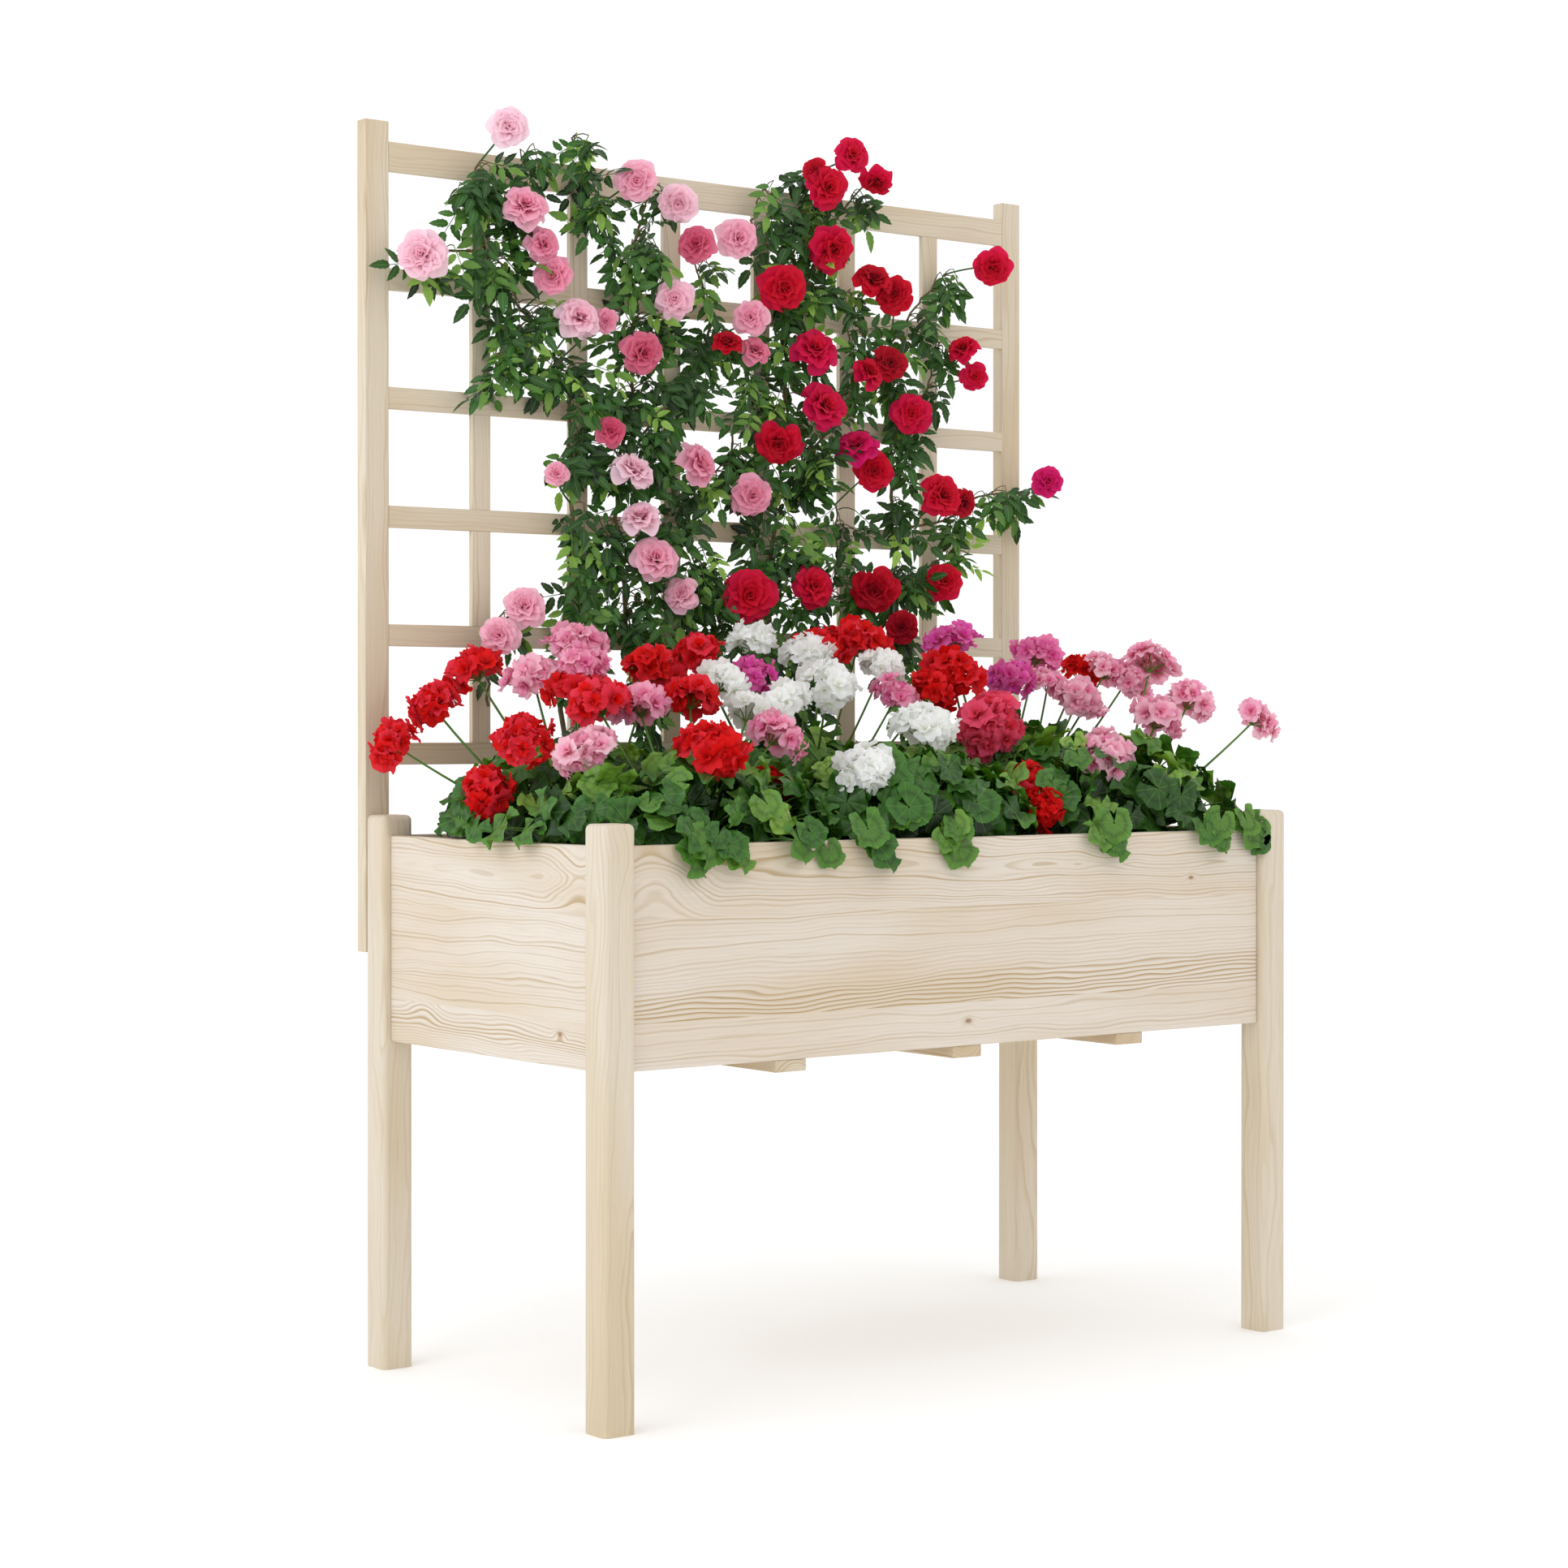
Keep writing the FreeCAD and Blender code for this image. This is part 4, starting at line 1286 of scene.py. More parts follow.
    def _add_stalk(self, green: Growth, crown: Array, place: Array, axis: Array, size: float) -> None:
        """Adds a flower head's stalk and the short stalks of its florets.

        Args:
            green: The plant's green parts.
            crown: Where the plant leaves the soil.
            place: The middle of the head.
            axis: The way that the head looks.
            size: The head's scale.
        """
        foot = crown + np.append(self.rng.normal(0, 12 * MM, 2), 0.0)
        neck = place - axis * 14 * MM * size
        bend = foot * 0.35 + neck * 0.65 + UP * -10 * MM
        green.add(tube(bow(foot, bend, neck, 9), self.head_stalk, 6, 0.62))
        side = facing(axis, np.array((1.0, 0.2, 0.1)))
        for number in range(self.floret_stalks):
            polar = math.radians(40 + 62 * number / self.floret_stalks)
            end = place + side @ direction(polar, number * GOLDEN_ANGLE) * self.dome_radius * 0.95 * size
            path = bow(neck, (neck + end) / 2 + axis * 3 * MM, end, 4)
            green.add(tube(path, self.floret_stalk, 4, 0.7))

    def _add_leaves(self, green: Growth, name: str, crown: Array, half: Array) -> None:
        """Adds a mound of leaves, and those that hang over the front and left walls.

        Args:
            green: The plant's green parts.
            name: The plant's node.
            crown: Where the plant leaves the soil.
            half: Half the sizes of the plant's node.
        """
        rng = self.rng
        height = 100 + 30 * (crown[0] / self.half_length) + 24 * ("_back_" in name)
        wide = 1.08 if "centre" in name else 1.22
        reach = np.array((half[0] * wide, half[1] * 1.18, height * MM))
        middle = crown + UP * 44 * MM
        for number in range(self.leaves_each):
            polar = math.acos(1 - (number + 0.5) / self.leaves_each * 1.10)
            out = direction(polar, number * GOLDEN_ANGLE + rng.normal(0, 0.12))
            shell = rng.choice((1.0, 0.78), p=(0.72, 0.28)) * rng.uniform(0.9, 1.06)
            lean = unit(out * np.array((0.9, 0.9, 0.5)) + UP * 0.55 + rng.normal(0, 0.36, 3))
            tip = out * np.array((1, 1, 0)) + UP * -0.45 + rng.normal(0, 0.35, 3)
            # the tint is partly age and partly painted light and shade: leaves high on the mound are painted
            # lighter, those of the inner shell darker
            tint = np.clip(0.36 + 0.22 * out[2] + rng.normal(0, 0.2) - (shell < 0.85) * 0.3, 0, 1)
            self._add_leaf(green, crown, middle + out * reach * shell, lean, tip, tint)
        if "_front_" not in name:
            return
        for along in self.overhangs:
            if abs(along * self.half_length - crown[0]) < half[0] + 5 * MM:
                for drop in (8, -6, -20):
                    x = along * self.half_length + rng.normal(0, 20 * MM)
                    place = np.array((x, self.faces[0][1][0] - self.hang, self.rim + drop * MM))
                    lean = np.array((rng.normal(0, 0.3), -1.0, rng.uniform(0.3, 0.8)))
                    tip = np.array((rng.normal(0, 0.5), -0.25, -1.0))
                    self._add_leaf(green, crown, place, lean, tip, rng.uniform(*self.hang_tint))
        for deep in self.left_overhangs if name.endswith("_left") else ():
            place = np.array((self.faces[1][1][0] - self.hang, self._deep(deep), self.rim + 12 * MM))
            lean = np.array((-1.0, rng.normal(0, 0.3), 0.7))
            tip = np.array((-0.4, rng.normal(0, 0.4), -1.0))
            self._add_leaf(green, crown, place, lean, tip, rng.uniform(*self.hang_tint))

    def _inward(self, points: Array, middle: Array) -> Array:
        """How far a leaf that starts inside the box must move, so as not to pierce its walls.

        Args:
            points: The leaf's points.
            middle: Where its stalk meets it.

        Returns:
            The way to move it.
        """
        low = points[points[:, 2] < self.rim + 1 * MM]
        shift = np.zeros(3)
        if len(low):
            for axis, (outer, inner) in self.faces:
                hand = math.copysign(1, inner - outer)
                if (middle[axis] - outer) * hand > 0:
                    shift[axis] += hand * max(((inner - low[:, axis]) * hand).max() + 2 * MM, 0)
        return shift

    def _add_leaf(
        self, green: Growth, crown: Array, place: Array, lean: Array, tip: Array, tint: float
    ) -> None:
        """Adds one leaf and its stalk.

        Args:
            green: The plant's green parts.
            crown: Where the plant leaves the soil.
            place: Where the stalk meets the leaf.
            lean: Where the leaf's upper face looks.
            tip: Where its tip points.
            tint: How young it is, from 0 to 1, with painted light and shade mixed in.
        """
        size = self.rng.uniform(*self.leaf_radius)
        turn = facing(lean, tip)
        middle = place - turn[:, 1] * size * 0.25
        leaf = self.leaf_shapes[self.rng.integers(self.leaf_kinds)].placed(turn, middle, size, tint)
        shift = self._inward(leaf.points, middle)
        leaf.points = leaf.points + shift
        middle = middle + shift
        green.add(leaf)
        foot = crown + np.append(self.rng.normal(0, 14 * MM, 2), 0.0)
        bend = foot * 0.3 + middle * 0.7 + UP * 18 * MM - turn[:, 2] * 10 * MM
        bend[2] = max(bend[2], self.rim + 14 * MM) if middle[1] < self.front else bend[2]
        green.add(tube(bow(foot, bend, middle, 7), self.leaf_stalk, 5, 0.6))


# ---- Climbing roses ----
@dataclass(frozen=True)
class RosePlan:
    """One climbing rose.

    Places are in bays and rows of the trellis: bay 1 is the first lath, row 1 the top rail and
    row 6 the lowest rail. A station of a cane has its bay, its row and the half width of its
    leaves there, in millimetres.
    """

    node: str
    bloom: Bloom
    cane: tuple[Triple, ...]  # the stations of the cane that leaves the soil
    shoots: tuple[tuple, ...]  # a side shoot's density of leaves, then its stations
    blooms: tuple[tuple[float, float, float, float], ...]  # bay, row, tint and size


ROSES = (
    RosePlan(
        "climbing_rose_pink_left",
        Bloom.ROSE_PINK,
        ((1.75, 6.3, 10), (1.75, 5.3, 25), (1.85, 4.4, 38), (1.85, 3.5, 42), (1.8, 2.8, 70),
         (1.45, 2.3, 80), (1.05, 1.8, 70), (0.85, 1.3, 60), (0.9, 0.95, 40)),
        (
            (0.7, (1.6, 2.6, 30), (1.15, 2.55, 40), (0.95, 2.8, 28)),
            (0.6, (0.95, 1.7, 20), (0.5, 1.75, 18), (0.25, 1.9, 26)),
            (0.8, (1.2, 1.6, 30), (1.3, 1.1, 35), (1.35, 0.85, 18)),
            (0.35, (1.0, 5.6, 5), (1.0, 5.1, 8), (1.15, 4.8, 8)),
        ),
        ((1.0, 0.68, 0.95, 0.9), (1.15, 1.35, 0.6, 1.05), (0.15, 1.85, 0.85, 1.05),
         (1.35, 1.65, 0.45, 0.8), (1.45, 1.9, 0.45, 0.85), (1.7, 2.25, 0.85, 1.0),
         (2.0, 2.25, 0.5, 0.6), (1.5, 3.6, 0.6, 0.55), (1.15, 4.75, 0.7, 0.95), (0.9, 5.0, 0.7, 0.9)),
    ),
    RosePlan(
        "climbing_rose_pink_right",
        Bloom.ROSE_PINK,
        ((2.55, 6.3, 12), (2.5, 5.4, 50), (2.4, 4.5, 75), (2.35, 3.6, 75), (2.5, 2.8, 75),
         (2.5, 2.0, 70), (2.2, 1.4, 65), (1.95, 1.0, 45), (1.85, 0.62, 26)),
        (
            (0.8, (2.6, 3.2, 45), (3.1, 2.7, 60), (3.35, 2.2, 50), (3.2, 1.6, 35)),
            (0.8, (2.4, 1.7, 40), (2.6, 1.3, 45), (2.7, 1.0, 30)),
            (0.9, (2.4, 4.3, 40), (3.0, 3.8, 70), (3.5, 3.4, 60)),
            (0.8, (2.9, 5.2, 30), (3.1, 4.6, 55), (3.2, 4.2, 40)),
        ),
        ((2.3, 1.0, 0.65, 0.95), (2.75, 1.15, 0.85, 0.9), (2.95, 1.5, 0.1, 0.85),
         (3.4, 1.4, 0.65, 0.95), (2.7, 2.0, 0.8, 0.95), (3.55, 2.1, 0.6, 0.85), (2.35, 2.5, 0.15, 1.0),
         (3.6, 2.4, 0.3, 0.75), (2.05, 3.2, 0.05, 0.7), (2.25, 3.55, 0.95, 1.05),
         (2.95, 3.45, 0.55, 1.05), (2.35, 3.95, 0.9, 0.95), (3.55, 3.7, 0.5, 1.0),
         (2.5, 4.3, 0.65, 1.05), (2.8, 4.6, 0.75, 0.85)),
    ),
    RosePlan(
        "climbing_rose_red_left",
        Bloom.ROSE_RED,
        ((4.1, 6.3, 14), (4.1, 5.4, 60), (4.0, 4.6, 85), (4.1, 3.8, 85), (4.2, 3.0, 70),
         (4.2, 2.2, 70), (4.3, 1.5, 70), (4.35, 1.0, 60), (4.45, 0.62, 34)),
        (
            (0.8, (4.3, 3.4, 40), (4.8, 2.9, 50), (4.95, 2.3, 45), (4.9, 1.7, 40)),
            (0.8, (3.9, 3.8, 40), (3.6, 3.2, 50), (3.8, 2.4, 40)),
            (0.9, (4.3, 5.2, 40), (4.75, 4.5, 60), (4.8, 3.7, 55)),
            (0.8, (3.9, 5.3, 40), (3.5, 4.9, 50), (3.4, 4.4, 45)),
            (0.7, (4.5, 1.3, 30), (4.85, 1.0, 30), (5.0, 0.8, 18)),
            (0.8, (4.2, 1.5, 30), (3.85, 1.2, 35), (3.95, 0.85, 25)),
        ),
        ((4.7, 0.52, 0.6, 0.85), (5.0, 0.72, 0.55, 0.8), (4.4, 0.85, 0.55, 1.0), (4.3, 0.7, 0.35, 0.6),
         (4.45, 1.4, 0.55, 1.15), (4.95, 1.65, 0.4, 0.95), (3.9, 1.8, 0.5, 1.1),
         (3.3, 2.35, 0.4, 0.75), (4.25, 2.35, 0.65, 1.1), (4.35, 2.85, 0.65, 1.15),
         (3.85, 3.2, 0.5, 1.1), (4.75, 3.2, 0.85, 1.05), (4.95, 3.4, 0.5, 0.95),
         (3.5, 4.6, 0.55, 1.25), (4.25, 4.5, 0.55, 1.0), (4.95, 4.5, 0.35, 1.15)),
    ),
    RosePlan(
        "climbing_rose_red_right",
        Bloom.ROSE_RED,
        ((5.5, 6.3, 10), (5.5, 5.2, 38), (5.5, 4.4, 45), (5.45, 3.6, 45), (5.45, 2.9, 45),
         (5.4, 2.3, 45), (5.75, 1.8, 35), (6.1, 1.45, 26)),
        (
            (0.7, (5.5, 2.9, 25), (5.85, 2.6, 30), (6.05, 2.1, 24)),
            (0.7, (5.5, 3.9, 25), (6.1, 3.8, 36), (6.55, 3.55, 28), (7.0, 3.5, 12)),
            (0.6, (5.5, 4.6, 25), (5.9, 4.25, 30), (6.2, 4.1, 20)),
        ),
        ((5.2, 1.75, 0.4, 0.95), (6.4, 1.4, 0.55, 0.95), (5.15, 2.4, 0.25, 0.85),
         (4.9, 2.5, 0.55, 0.8), (6.05, 2.2, 0.55, 0.75), (6.2, 2.45, 0.6, 0.7), (5.4, 2.85, 0.6, 1.0),
         (5.75, 3.6, 0.5, 1.05), (6.05, 3.65, 0.3, 0.7), (7.12, 3.4, 1.0, 0.8), (5.8, 4.4, 0.5, 0.9),
         (5.3, 4.85, 0.2, 0.8)),
    ),
)


@dataclass
class ClimbingRoses:
    """Four roses tied to the trellis: canes, twigs, feathered leaves and many-petalled flowers."""

    clearance: Clearance
    bloom_radius: float = 30.5 * MM
    leaflet: tuple[float, float] = (23 * MM, 35 * MM)
    leaflet_pairs: tuple[tuple[float, float], ...] = ((0.30, 0.72), (0.66, 0.88))  # place and scale
    cane_radius: tuple[float, float] = (4.5 * MM, 1.26 * MM)
    shoot_radius: tuple[float, float] = (2.25 * MM, 1.26 * MM)
    twig_radius: tuple[float, float] = (1.0 * MM, 0.8 * MM)
    midrib_radius: tuple[float, float] = (0.7 * MM, 0.5 * MM)
    stem_radius: tuple[float, float] = (1.5 * MM, 1.3 * MM)
    cane_ahead: float = 14 * MM
    leaf_ahead: tuple[float, float] = (6 * MM, 62 * MM)
    leaves_per_area: float = 1 / (15 * MM * 39 * MM)
    clump: float = 0.105  # from one thick place of a cane's leaves to the next
    young_share: float = 0.13
    bloom_kinds: int = 6
    sepals: int = 5
    seed: int = 33

    def __post_init__(self) -> None:
        """Reads the trellis, and makes the leaves and flowers to copy."""
        self.rng = np.random.default_rng(self.seed)
        laths = [sum(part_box("trellis_lath_%d" % number), Vector()) / 2 for number in (1, 2)]
        rails = [sum(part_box("trellis_rail_%d" % number), Vector()) / 2 for number in (2, 3)]
        self.first_x, self.bay = laths[0].x, laths[1].x - laths[0].x
        self.second_z, self.row = rails[0].z, rails[0].z - rails[1].z
        self.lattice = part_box("trellis_lath_1")[0].y
        self.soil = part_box("potting_soil")[1].z
        wall_low, wall_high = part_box("back_wall_top_stave")
        self.rim, self.back = wall_high.z, wall_low.y
        self.leaflet_shape = RoseLeaflet().shape()
        self.bloom_shapes = [ROSE.shape(self.rng) for _ in range(self.bloom_kinds)]
        blooms = [bloom for plan in ROSES for bloom in plan.blooms]
        self.bloom_places = np.array([self._bloom_place(bay, row, size) for bay, row, _, size in blooms])

    def _point(self, bay: float, row: float, ahead: float) -> Array:
        """A point in front of the lattice.

        Args:
            bay: Along the trellis, counted in laths.
            row: Down the trellis, counted in rails.
            ahead: How far in front of the lattice.

        Returns:
            The point.
        """
        x = self.first_x + (bay - 1) * self.bay
        return np.array((x, self.lattice - ahead, self.second_z - (row - 2) * self.row))

    def _bloom_place(self, bay: float, row: float, size: float) -> Array:
        """The middle of a flower, kept under the highest allowed point.

        Args:
            bay: Its bay.
            row: Its row.
            size: Its scale.

        Returns:
            The place.
        """
        place = self._point(bay, row, (58 + 16 * size) * MM)
        place[2] = min(place[2], self.clearance.high[2] - self.bloom_radius * size * 0.9)
        return place

    def _behind_blooms(self, place: Array) -> float:
        """The foremost y at which a leaf at this place stays behind the flowers near it.

        Args:
            place: Where the leaf leaves its twig.

        Returns:
            The y.
        """
        apart = np.linalg.norm((self.bloom_places - place)[:, (0, 2)], axis=1)
        near = self.bloom_places[apart < 1.5 * self.bloom_radius, 1]
        return near.max() + 42 * MM if len(near) else -math.inf

    def build(self) -> None:
        """Grows every rose."""
        greens = ("#0D210A", "#326222", "#94BC50")
        self.leaf_material = LeafFinish("rose_leaf", greens, "#668E42", 0.38, 9, False).material()
        self.cane_material = CaneFinish().material()
        petals = {bloom: PETALS[bloom].material() for bloom in (Bloom.ROSE_PINK, Bloom.ROSE_RED)}
        for plan in ROSES:
            self._grow(plan, petals[plan.bloom])

    def _cane_path(self, stations: list[Triple], from_soil: bool) -> tuple[Array, Array]:
        """The smooth middle line of a cane and the half width of its leaves along it.

        Args:
            stations: The cane's stations.
            from_soil: True if it leaves the soil, and not another cane.

        Returns:
            The points, and a half width for each.
        """
        knots = [self._point(bay, row, self.cane_ahead) for bay, row, _ in stations]
        spreads = [spread * MM for _, _, spread in stations]
        if from_soil:
            foot = np.array((knots[0][0], self.back - 26 * MM, self.soil))
            over_rim = np.array((knots[0][0], self.back - 22 * MM, self.rim + 12 * MM))
            knots[:1] = [foot, over_rim]
            spreads[:1] = [0.0, spreads[0]]
        steps = np.linspace(0, len(knots) - 1, (len(knots) - 1) * 8 + 1)
        path = self._eased(np.array(knots), steps)
        wobble = self.rng.normal(0, 2.5 * MM, path.shape) * np.array((1, 0.5, 0))
        return path + wobble, np.interp(steps, np.arange(len(knots)), spreads)

    def _eased(self, knots: Array, steps: Array) -> Array:
        """A smooth curve through points, by Catmull and Rom's rule.

        Args:
            knots: The points at whole steps.
            steps: Where the curve is read.

        Returns:
            The curve's points.
        """
        padded = np.concatenate([knots[:1] * 2 - knots[1:2], knots, knots[-1:] * 2 - knots[-2:-1]])
        whole = np.minimum(steps.astype(int), len(knots) - 2)
        t = (steps - whole)[:, None]
        a, b, c, d = (padded[whole + offset] for offset in range(4))
        slope, bend, twist = c - a, 2 * a - 5 * b + 4 * c - d, 3 * b - a - 3 * c + d
        return 0.5 * (2 * b + slope * t + bend * t**2 + twist * t**3)

    def _grow(self, plan: RosePlan, petal_material: Material) -> None:
        """Grows one rose.

        Args:
            plan: Its canes and flowers.
            petal_material: The finish of its petals.
        """
        stems = Growth(plan.node + "_canes", plan.node, "rose_leaves", self.cane_material)
        leaves = Growth(plan.node + "_leaves", plan.node, "rose_leaves", self.leaf_material)
        flowers = Growth(plan.node + "_flowers", plan.node, plan.bloom.value, petal_material)
        paths = []
        for density, *stations in ((1.0, *plan.cane), *plan.shoots):
            from_soil = not paths
            path, spreads = self._cane_path(stations, from_soil)
            stems.add(tube(path, self.cane_radius if from_soil else self.shoot_radius, 7, 0.4))
            self._add_leaves(leaves, stems, path, spreads, density)
            paths.append(path)
        for bay, row, tint, size in plan.blooms:
            place = self._bloom_place(bay, row, size)
            self._add_bloom(flowers, leaves, np.concatenate(paths), place, tint, size * self.bloom_radius)
        quads = sum(growth.build(self.clearance) for growth in (stems, leaves, flowers))
        LOG.info("%s: %d flowers, %d quads", plan.node, len(plan.blooms), quads)

    def _add_leaves(
        self, leaves: Growth, stems: Growth, path: Array, spreads: Array, density: float
    ) -> None:
        """Adds feathered leaves on short twigs along a cane.

        Args:
            leaves: The rose's leaves.
            stems: The rose's stems.
            path: The cane's middle line.
            spreads: The half width of the leaves along it.
            density: How closely they stand.
        """
        rng = self.rng
        lengths = np.linalg.norm(np.diff(path, axis=0), axis=1)
        areas = lengths * 2 * spreads[1:] * (path[1:, 2] > self.rim + 60 * MM)
        phase = rng.uniform(0, 2 * math.pi)
        clumps = 1 + 0.9 * np.sin(np.cumsum(lengths) * 2 * math.pi / self.clump + phase)
        counts = rng.poisson(areas * self.leaves_per_area * density * clumps)
        counts[-2:] = 3  # a tuft at the tip
        for number in np.repeat(np.arange(len(counts)), counts):
            start = path[number] + (path[number + 1] - path[number]) * rng.uniform()
            side = rng.uniform(-1, 1) * max(spreads[number] - 34 * MM, 8 * MM)
            ahead = rng.uniform(*self.leaf_ahead)
            place = start + np.array((side, 0.0, rng.normal(0, 12 * MM)))
            place[1] = min(start[1] - ahead * 0.6, self.lattice - ahead * 0.7)
            place[1] = max(place[1], self._behind_blooms(place))
            # leaves farther in front of the lattice get a lighter tint and those close to it a darker one:
            # painted light and shade in the foliage
            painted_light_share = (self.lattice - place[1]) / self.leaf_ahead[1]
            way = unit(unit(np.array((side / (30 * MM), -0.35, -0.9))) + rng.normal(0, 0.42, 3))
            normal = unit(np.array((-0.45, -0.8, 0.45)) + rng.normal(0, 0.38, 3))
            young = rng.uniform() < self.young_share
            tint = np.clip(rng.normal(0.14 + 0.34 * painted_light_share, 0.15) + 0.42 * young, 0, 1)
            self._add_leaf(leaves, place, way, normal, tint)
            twig = bow(start, (start + place) / 2 + UP * 8 * MM, place, 4)
            stems.add(tube(twig, self.twig_radius, 4, 0.6))

    def _add_leaf(
        self, leaves: Growth, place: Array, way: Array, normal: Array, tint: float
    ) -> None:
        """Adds one leaf of five leaflets on a midrib.

        Args:
            leaves: The rose's leaves.
            place: Where it leaves its twig.
            way: Where it points.
            normal: Where its upper face looks.
            tint: How young it is, from 0 to 1, with painted light and shade mixed in.
        """
        size = self.rng.uniform(*self.leaflet)
        side, along, up = facing(normal, way).T
        end = place + along * size * 1.25 - up * size * 0.22
        leaves.add(tube(bow(place, place + along * size * 0.7, end, 4), self.midrib_radius, 4, tint))
        for share, scale in self.leaflet_pairs:
            for hand in (-1, 1):
                tip = side * hand + along * self.rng.uniform(0.35, 0.75) - up * self.rng.uniform(0, 0.25)
                face = up + side * hand * self.rng.uniform(-0.25, 0.35)
                start = place + (end - place) * share + unit(tip) * size * 0.06
                shade = tint + self.rng.normal(0, 0.05)
                leaves.add(self.leaflet_shape.placed(facing(face, tip), start, size * scale, shade))
        leaves.add(self.leaflet_shape.placed(facing(up, along - up * 0.25), end, size, tint))

    def _add_bloom(
        self, flowers: Growth, leaves: Growth, canes: Array, place: Array, tint: float, size: float
    ) -> None:
        """Adds one rose with its stem and sepals.

        Args:
            flowers: The rose's flowers.
            leaves: The rose's leaves.
            canes: Points along all of the rose's canes.
            place: The flower's middle.
            tint: Its tint.
            size: Its radius.
        """
        axis = unit(np.array((-0.42, -0.95, 0.15)) + self.rng.normal(0, 0.36, 3))
        shape = self.bloom_shapes[self.rng.integers(self.bloom_kinds)]
        spun = facing(axis, self.rng.normal(0, 1, 3))
        flowers.add(shape.placed(spun, place, size, tint))
        neck = place - axis * size * 0.12
        for number in range(self.sepals):
            turn = number * 2 * math.pi / self.sepals
            out = spun @ np.array((math.cos(turn), math.sin(turn), -0.15))
            leaves.add(self.leaflet_shape.placed(facing(axis, out), neck, size * 0.5, 0.55))
        nearest = canes[np.argmin(np.linalg.norm(canes - place - UP * -0.03, axis=1))]
        bend = nearest * 0.4 + neck * 0.6 - axis * 22 * MM
        leaves.add(tube(bow(nearest, bend, neck, 8), self.stem_radius, 6, 0.42))


# ---- Liner and soil ----
@dataclass(frozen=True)
class LandscapeFabric:
    """Black woven polypropylene tape: a dull cross weave with a faint dry shine.

    The real tapes are about 2 mm wide, which is what is drawn.
    """

    name: str = "woven_black_fabric"
    tape_mm: float = 2.0

    def material(self) -> Material:
        """Builds the material.

        Returns:
            The material.
        """
        fabric = Surface(self.name, IOR=1.49, Roughness=0.62)
        place = fabric.add("TexCoord", output="Object")
        scale = (1000 / self.tape_mm,) * 3
        scaled = fabric.add("VectorMath", {"operation": "MULTIPLY", 0: place, 1: scale})
        tapes = fabric.add("TexChecker", {"Scale": 1.0, "Vector": scaled}, "Fac")
        ramp = fabric.add("ValToRGB", {"stops": ((0.0, "#0B0B0C"), (1.0, "#191A1C")), 0: tapes})
        bump = fabric.add("Bump", {"Strength": 0.5, "Distance": 0.3 * MM, "Height": tapes})
        return fabric.finished(Base_Color=ramp, Normal=bump)


@dataclass
class Liner:
    """The fabric liner: an open-topped bag folded into the box and stapled under its rim."""

    staples_long: int = 6
    staples_short: int = 3
    slack: float = 3.5 * MM  # how far the edge falls in between staples
    edge_wave: float = 1.6 * MM
    thickness: float = 1.0 * MM
    step: float = 8 * MM

    def build(self) -> None:
        """Makes the liner in place of its plain shell."""
        low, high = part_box("liner")
        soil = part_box("potting_soil")[1].z
        heights = (low.z, low.z + 40 * MM, soil - 60 * MM, soil, soil + 12 * MM, high.z - 4 * MM, high.z)
        outline, waves = self._outline(low, high)
        inward = np.array(((low.x + high.x) / 2, (low.y + high.y) / 2)) - outline
        inward /= np.linalg.norm(inward, axis=1, keepdims=True)
        levels = []
        for height in heights:
            loose = waves * max(0.0, (height - soil) / (high.z - soil))
            z = height - self.edge_wave * loose * (height == high.z)
            levels.append(np.column_stack((outline + inward * self.slack * loose[:, None], z)))
        quads = grid_quads(len(levels), len(outline), closed=True)
        bottom = np.arange(len(outline))
        fabric = LandscapeFabric().material()
        piece = add_mesh("liner_fabric", np.concatenate(levels), quads, fabric, (bottom,))
        solid = piece.modifiers.new("thickness", "SOLIDIFY")
        solid.thickness, solid.offset = self.thickness, 1.0
        stand_for(piece, "liner")
        LOG.info("liner: %d quads", len(quads))

    def _outline(self, low: Vector, high: Vector) -> tuple[Array, Array]:
        """The liner's outline, notched round the legs, with how free each point is.

        Args:
            low: The liner's lowest corner.
            high: The liner's highest corner.

        Returns:
            The points, and for each 0 at a staple or corner and up to 1 between them.
        """
        side_low, side_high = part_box("left_wall_top_stave")
        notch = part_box("front_wall_top_stave")[1].x - self.thickness
        left, right = low.x + self.thickness, high.x - self.thickness
        front, back = low.y + self.thickness, high.y - self.thickness
        leg_front, leg_back = side_low.y + self.thickness, side_high.y - self.thickness
        corners = (
            (-notch, front, self.staples_long),
            (notch, front, 0),
            (notch, leg_front, 0),
            (right, leg_front, self.staples_short),
            (right, leg_back, 0),
            (notch, leg_back, 0),
            (notch, back, self.staples_long),
            (-notch, back, 0),
            (-notch, leg_back, 0),
            (left, leg_back, self.staples_short),
            (left, leg_front, 0),
            (-notch, leg_front, 0),
        )
        outline, waves = [], []
        for (x, y, staples), (next_x, next_y, _) in zip(corners, corners[1:] + corners[:1]):
            count = max(2, round(math.hypot(next_x - x, next_y - y) / self.step))
            share = np.arange(count) / count
            outline.append(np.column_stack((x + (next_x - x) * share, y + (next_y - y) * share)))
            ends = np.minimum(1.0, 6 * np.minimum(share, 1 - share))
            waves.append(ends * np.cos(math.pi * share * staples) ** 2 * (staples > 0))
        return np.concatenate(outline), np.concatenate(waves)


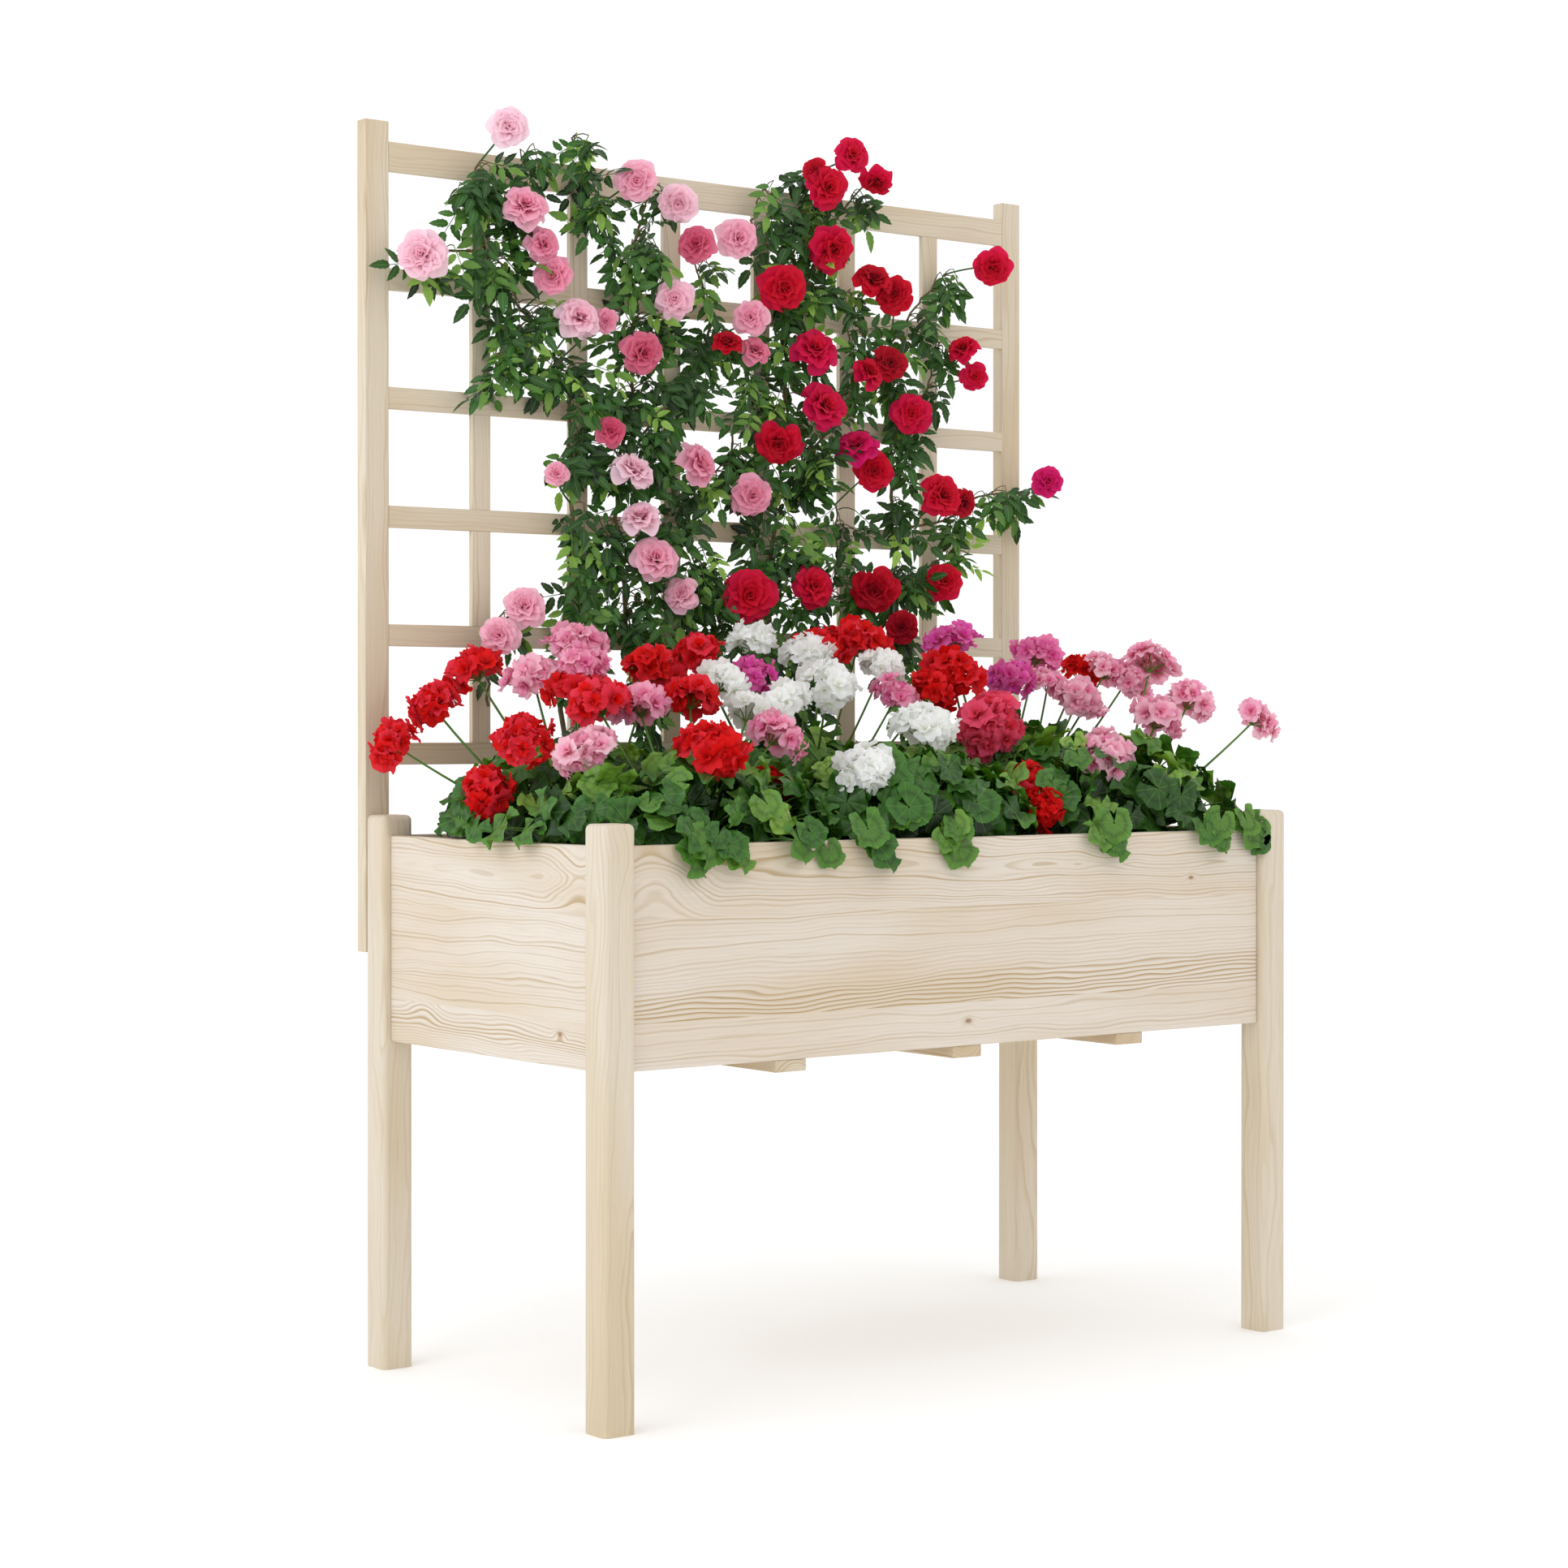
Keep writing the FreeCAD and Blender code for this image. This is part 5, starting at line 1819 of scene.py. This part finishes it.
@dataclass(frozen=True)
class PottingMix:
    """Peat and composted bark: near black and crumbly, with brown bark bits, dull when damp."""

    name: str = "peat_and_bark"

    def material(self) -> Material:
        """Builds the material.

        Returns:
            The material.
        """
        mix = Surface(self.name, Roughness=0.92, IOR=1.45)
        place = mix.add("TexCoord", output="Object")
        crumbs = mix.add("TexNoise", {"Scale": 240.0, "Detail": 5.0, "Vector": place})
        bits = mix.add("TexVoronoi", {"Scale": 130.0, "Vector": place}, "Color")
        stops = ((0.3, "#120C08"), (0.55, "#241811"), (0.75, "#3A281B"))
        dark = mix.add("ValToRGB", {"stops": stops, 0: crumbs})
        bark = mix.add("MapRange", {"From Min": 0.82, "From Max": 0.92, "To Max": 0.7, 0: bits})
        bump = mix.add("Bump", {"Strength": 0.9, "Distance": 2 * MM, "Height": crumbs})
        barked = {MIX_FACTOR: bark, MIX_A: dark, MIX_B: linear("#5A4029")}
        return mix.finished(Base_Color=mix.add("Mix", COLOURS | barked, MIX_RESULT), Normal=bump)


@dataclass
class Soil:
    """The potting soil, with a crumbled and slightly mounded top and loose lumps of bark."""

    cell: float = 6 * MM
    crumb: float = 2.4 * MM
    mound: float = 5 * MM
    lumps: int = 420
    lump_size: tuple[float, float] = (3 * MM, 8 * MM)
    gap: float = 2.5 * MM
    leg_gap: float = 4 * MM
    seed: int = 5

    def build(self) -> None:
        """Makes the soil in place of its plain block."""
        rng = np.random.default_rng(self.seed)
        low, high = (np.array(corner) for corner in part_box("potting_soil"))
        wall_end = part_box("front_wall_top_stave")[1].x - self.leg_gap
        leg_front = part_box("leg_front_left")[1].y + self.leg_gap
        leg_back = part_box("leg_back_left")[0].y - self.leg_gap
        low[:2] += self.gap
        high[:2] -= self.gap
        columns, rows = (int((high[axis] - low[axis]) / self.cell) for axis in (0, 1))
        x, y = np.meshgrid(np.linspace(low[0], high[0], columns), np.linspace(low[1], high[1], rows))
        in_corner = (np.abs(x) > wall_end) & ((y < leg_front) | (y > leg_back))
        x = np.where(in_corner, np.sign(x) * wall_end, x)
        slow = np.sin(x * 17 + 1.3) * np.sin(y * 23 + 0.4) * self.mound * 0.5
        z = high[2] - self.mound * 0.6 + slow + rng.normal(0, self.crumb * 0.5, x.shape)
        top = np.stack([x, y, z], axis=-1).reshape(-1, 3)
        grid = np.arange(rows * columns).reshape(rows, columns)
        edge = np.concatenate([grid[0], grid[1:, -1], grid[-1, -2::-1], grid[-2:0:-1, 0]])
        foot = top[edge].copy()
        foot[:, 2] = low[2]
        below = np.arange(len(edge)) + len(top)
        wall = np.stack([edge, below, np.roll(below, -1), np.roll(edge, -1)], axis=-1)
        lumps, lump_quads = self._lumps(rng, low, high, wall_end)
        points = np.concatenate([top, foot, lumps])
        quads = np.concatenate([grid_quads(rows, columns), wall, lump_quads + len(top) + len(edge)])
        mix = PottingMix().material()
        piece = add_mesh("soil_surface", points, quads, mix, (below[::-1],))
        stand_for(piece, "potting_soil")
        LOG.info("soil: %d quads and %d lumps", len(quads), self.lumps)

    def _lumps(
        self, rng: np.random.Generator, low: Array, high: Array, wall_end: float
    ) -> tuple[Array, Array]:
        """Loose lumps on the soil, each a small uneven block.

        Args:
            rng: The seeded choice of lumps.
            low: The soil's lowest corner.
            high: The soil's highest corner.
            wall_end: The reach of the soil between the legs.

        Returns:
            The lumps' points and quads.
        """
        corners = np.array([(x, y, z) for x in (-1, 1) for y in (-1, 1) for z in (-1, 1)], dtype=float)
        faces = ((0, 1, 3, 2), (4, 6, 7, 5), (0, 4, 5, 1), (2, 3, 7, 6), (0, 2, 6, 4), (1, 5, 7, 3))
        points = []
        for _ in range(self.lumps):
            x = rng.uniform(-wall_end, wall_end)
            y = rng.uniform(low[1] + 8 * MM, high[1] - 8 * MM)
            axis = unit(rng.normal(0, 1, 3))
            turn = facing(axis, rng.normal(0, 1, 3))
            sizes = rng.uniform(*self.lump_size) / 2 * rng.uniform(0.5, 1.0, 3)
            block = (corners + rng.uniform(-0.25, 0.25, corners.shape)) * sizes
            points.append(block @ turn.T + np.array((x, y, high[2] - 2 * MM)))
        starts = np.arange(self.lumps)[:, None, None] * len(corners)
        return np.concatenate(points), (np.array(faces) + starts).reshape(-1, 4)


# ---- Studio ----
@dataclass
class Studio:
    """A plain white floor, a soft sky of light, one large lamp and the camera."""

    place: Triple = (-2.8328, -3.5743, 0.8769)
    yaw: float = 37.494  # degrees from straight behind towards the right
    pitch: float = -0.259
    lens: float = 73.53  # millimetres
    sensor: float = 36.0  # millimetres
    shift_up: float = -0.0253
    farthest: float = 100.0
    floor_half: float = 14.0
    floor_glow: float = 0.06
    sky: float = 1.05
    lamp_place: Triple = (-3.9, -0.8, 2.7)
    lamp_aim: Triple = (0.0, 0.0, 0.7)
    lamp_size: tuple[float, float] = (3.0, 2.2)
    lamp_power: float = 44.0
    lamp_colour: str = "#E6F1FF"

    def build(self) -> None:
        """Makes the floor, the lights and the camera."""
        self._floor()
        self._lights()
        lens = bpy.data.cameras.new("camera")
        lens.lens, lens.sensor_width = self.lens, self.sensor
        lens.shift_y, lens.clip_end = self.shift_up, self.farthest
        camera = add_object("camera", lens)
        camera.location = self.place
        camera.rotation_euler = (math.radians(90 + self.pitch), 0.0, math.radians(-self.yaw))
        bpy.context.scene.camera = camera
        bpy.context.scene.view_settings.view_transform = "Standard"
        LOG.info("studio: camera, floor and lights")

    def _floor(self) -> None:
        """Makes the floor."""
        white = (1.0, 1.0, 1.0, 1.0)
        paint = Surface(
            "white_floor", Roughness=0.9, Emission_Color=white, Emission_Strength=self.floor_glow
        )
        place = paint.add("TexCoord", output="Object")
        tone = paint.add("TexNoise", {"Scale": 0.6, "Detail": 1.0, "Vector": place})
        ramp = paint.add("ValToRGB", {"stops": ((0.3, "#FAFAFA"), (0.7, "#FDFDFD")), 0: tone})
        line = np.linspace(-self.floor_half, self.floor_half, 9)
        x, y = np.meshgrid(line, line)
        points = np.stack([x, y, np.zeros_like(x)], axis=-1).reshape(-1, 3)
        quads = grid_quads(len(line), len(line))
        add_mesh("studio_floor", points, quads, paint.finished(Base_Color=ramp))

    def _lights(self) -> None:
        """Makes the sky and the lamp."""
        world = bpy.data.worlds.new("soft_sky")
        world.use_nodes = True
        background = world.node_tree.nodes["Background"]
        background.inputs["Color"].default_value = linear("#FFFFFF")
        background.inputs["Strength"].default_value = self.sky
        bpy.context.scene.world = world
        light = bpy.data.lights.new("soft_box", "AREA")
        light.shape = "RECTANGLE"
        light.size, light.size_y = self.lamp_size
        light.energy = self.lamp_power
        light.color = linear(self.lamp_colour)[:3]
        lamp = add_object("soft_box", light)
        lamp.location = self.lamp_place
        aim = Vector(self.lamp_aim) - Vector(self.lamp_place)
        lamp.rotation_euler = aim.to_track_quat("-Z", "Y").to_euler()


def main() -> None:
    """Builds the studio, dresses the frame and grows the plants."""
    logging.basicConfig(level=logging.INFO, format="%(message)s")
    Studio().build()
    Woodwork().dress()
    plated = PlatedSteel("zinc_plated_steel", "#C3C7CB", (0.28, 0.45))
    bright = PlatedSteel("bright_steel_wire", "#A9ACB0", (0.3, 0.5))
    dress(("wall_pocket_screws", "bearer_screws", "trellis_screws"), plated.material())
    dress(("floor_nails", "lattice_brads", "liner_staples"), bright.material())
    dress(("wall_dowels",), BeechDowel().material())
    Liner().build()
    Soil().build()
    clearance = Clearance()
    GeraniumBed(clearance).build()
    ClimbingRoses(clearance).build()


if __name__ == "__main__":
    main()
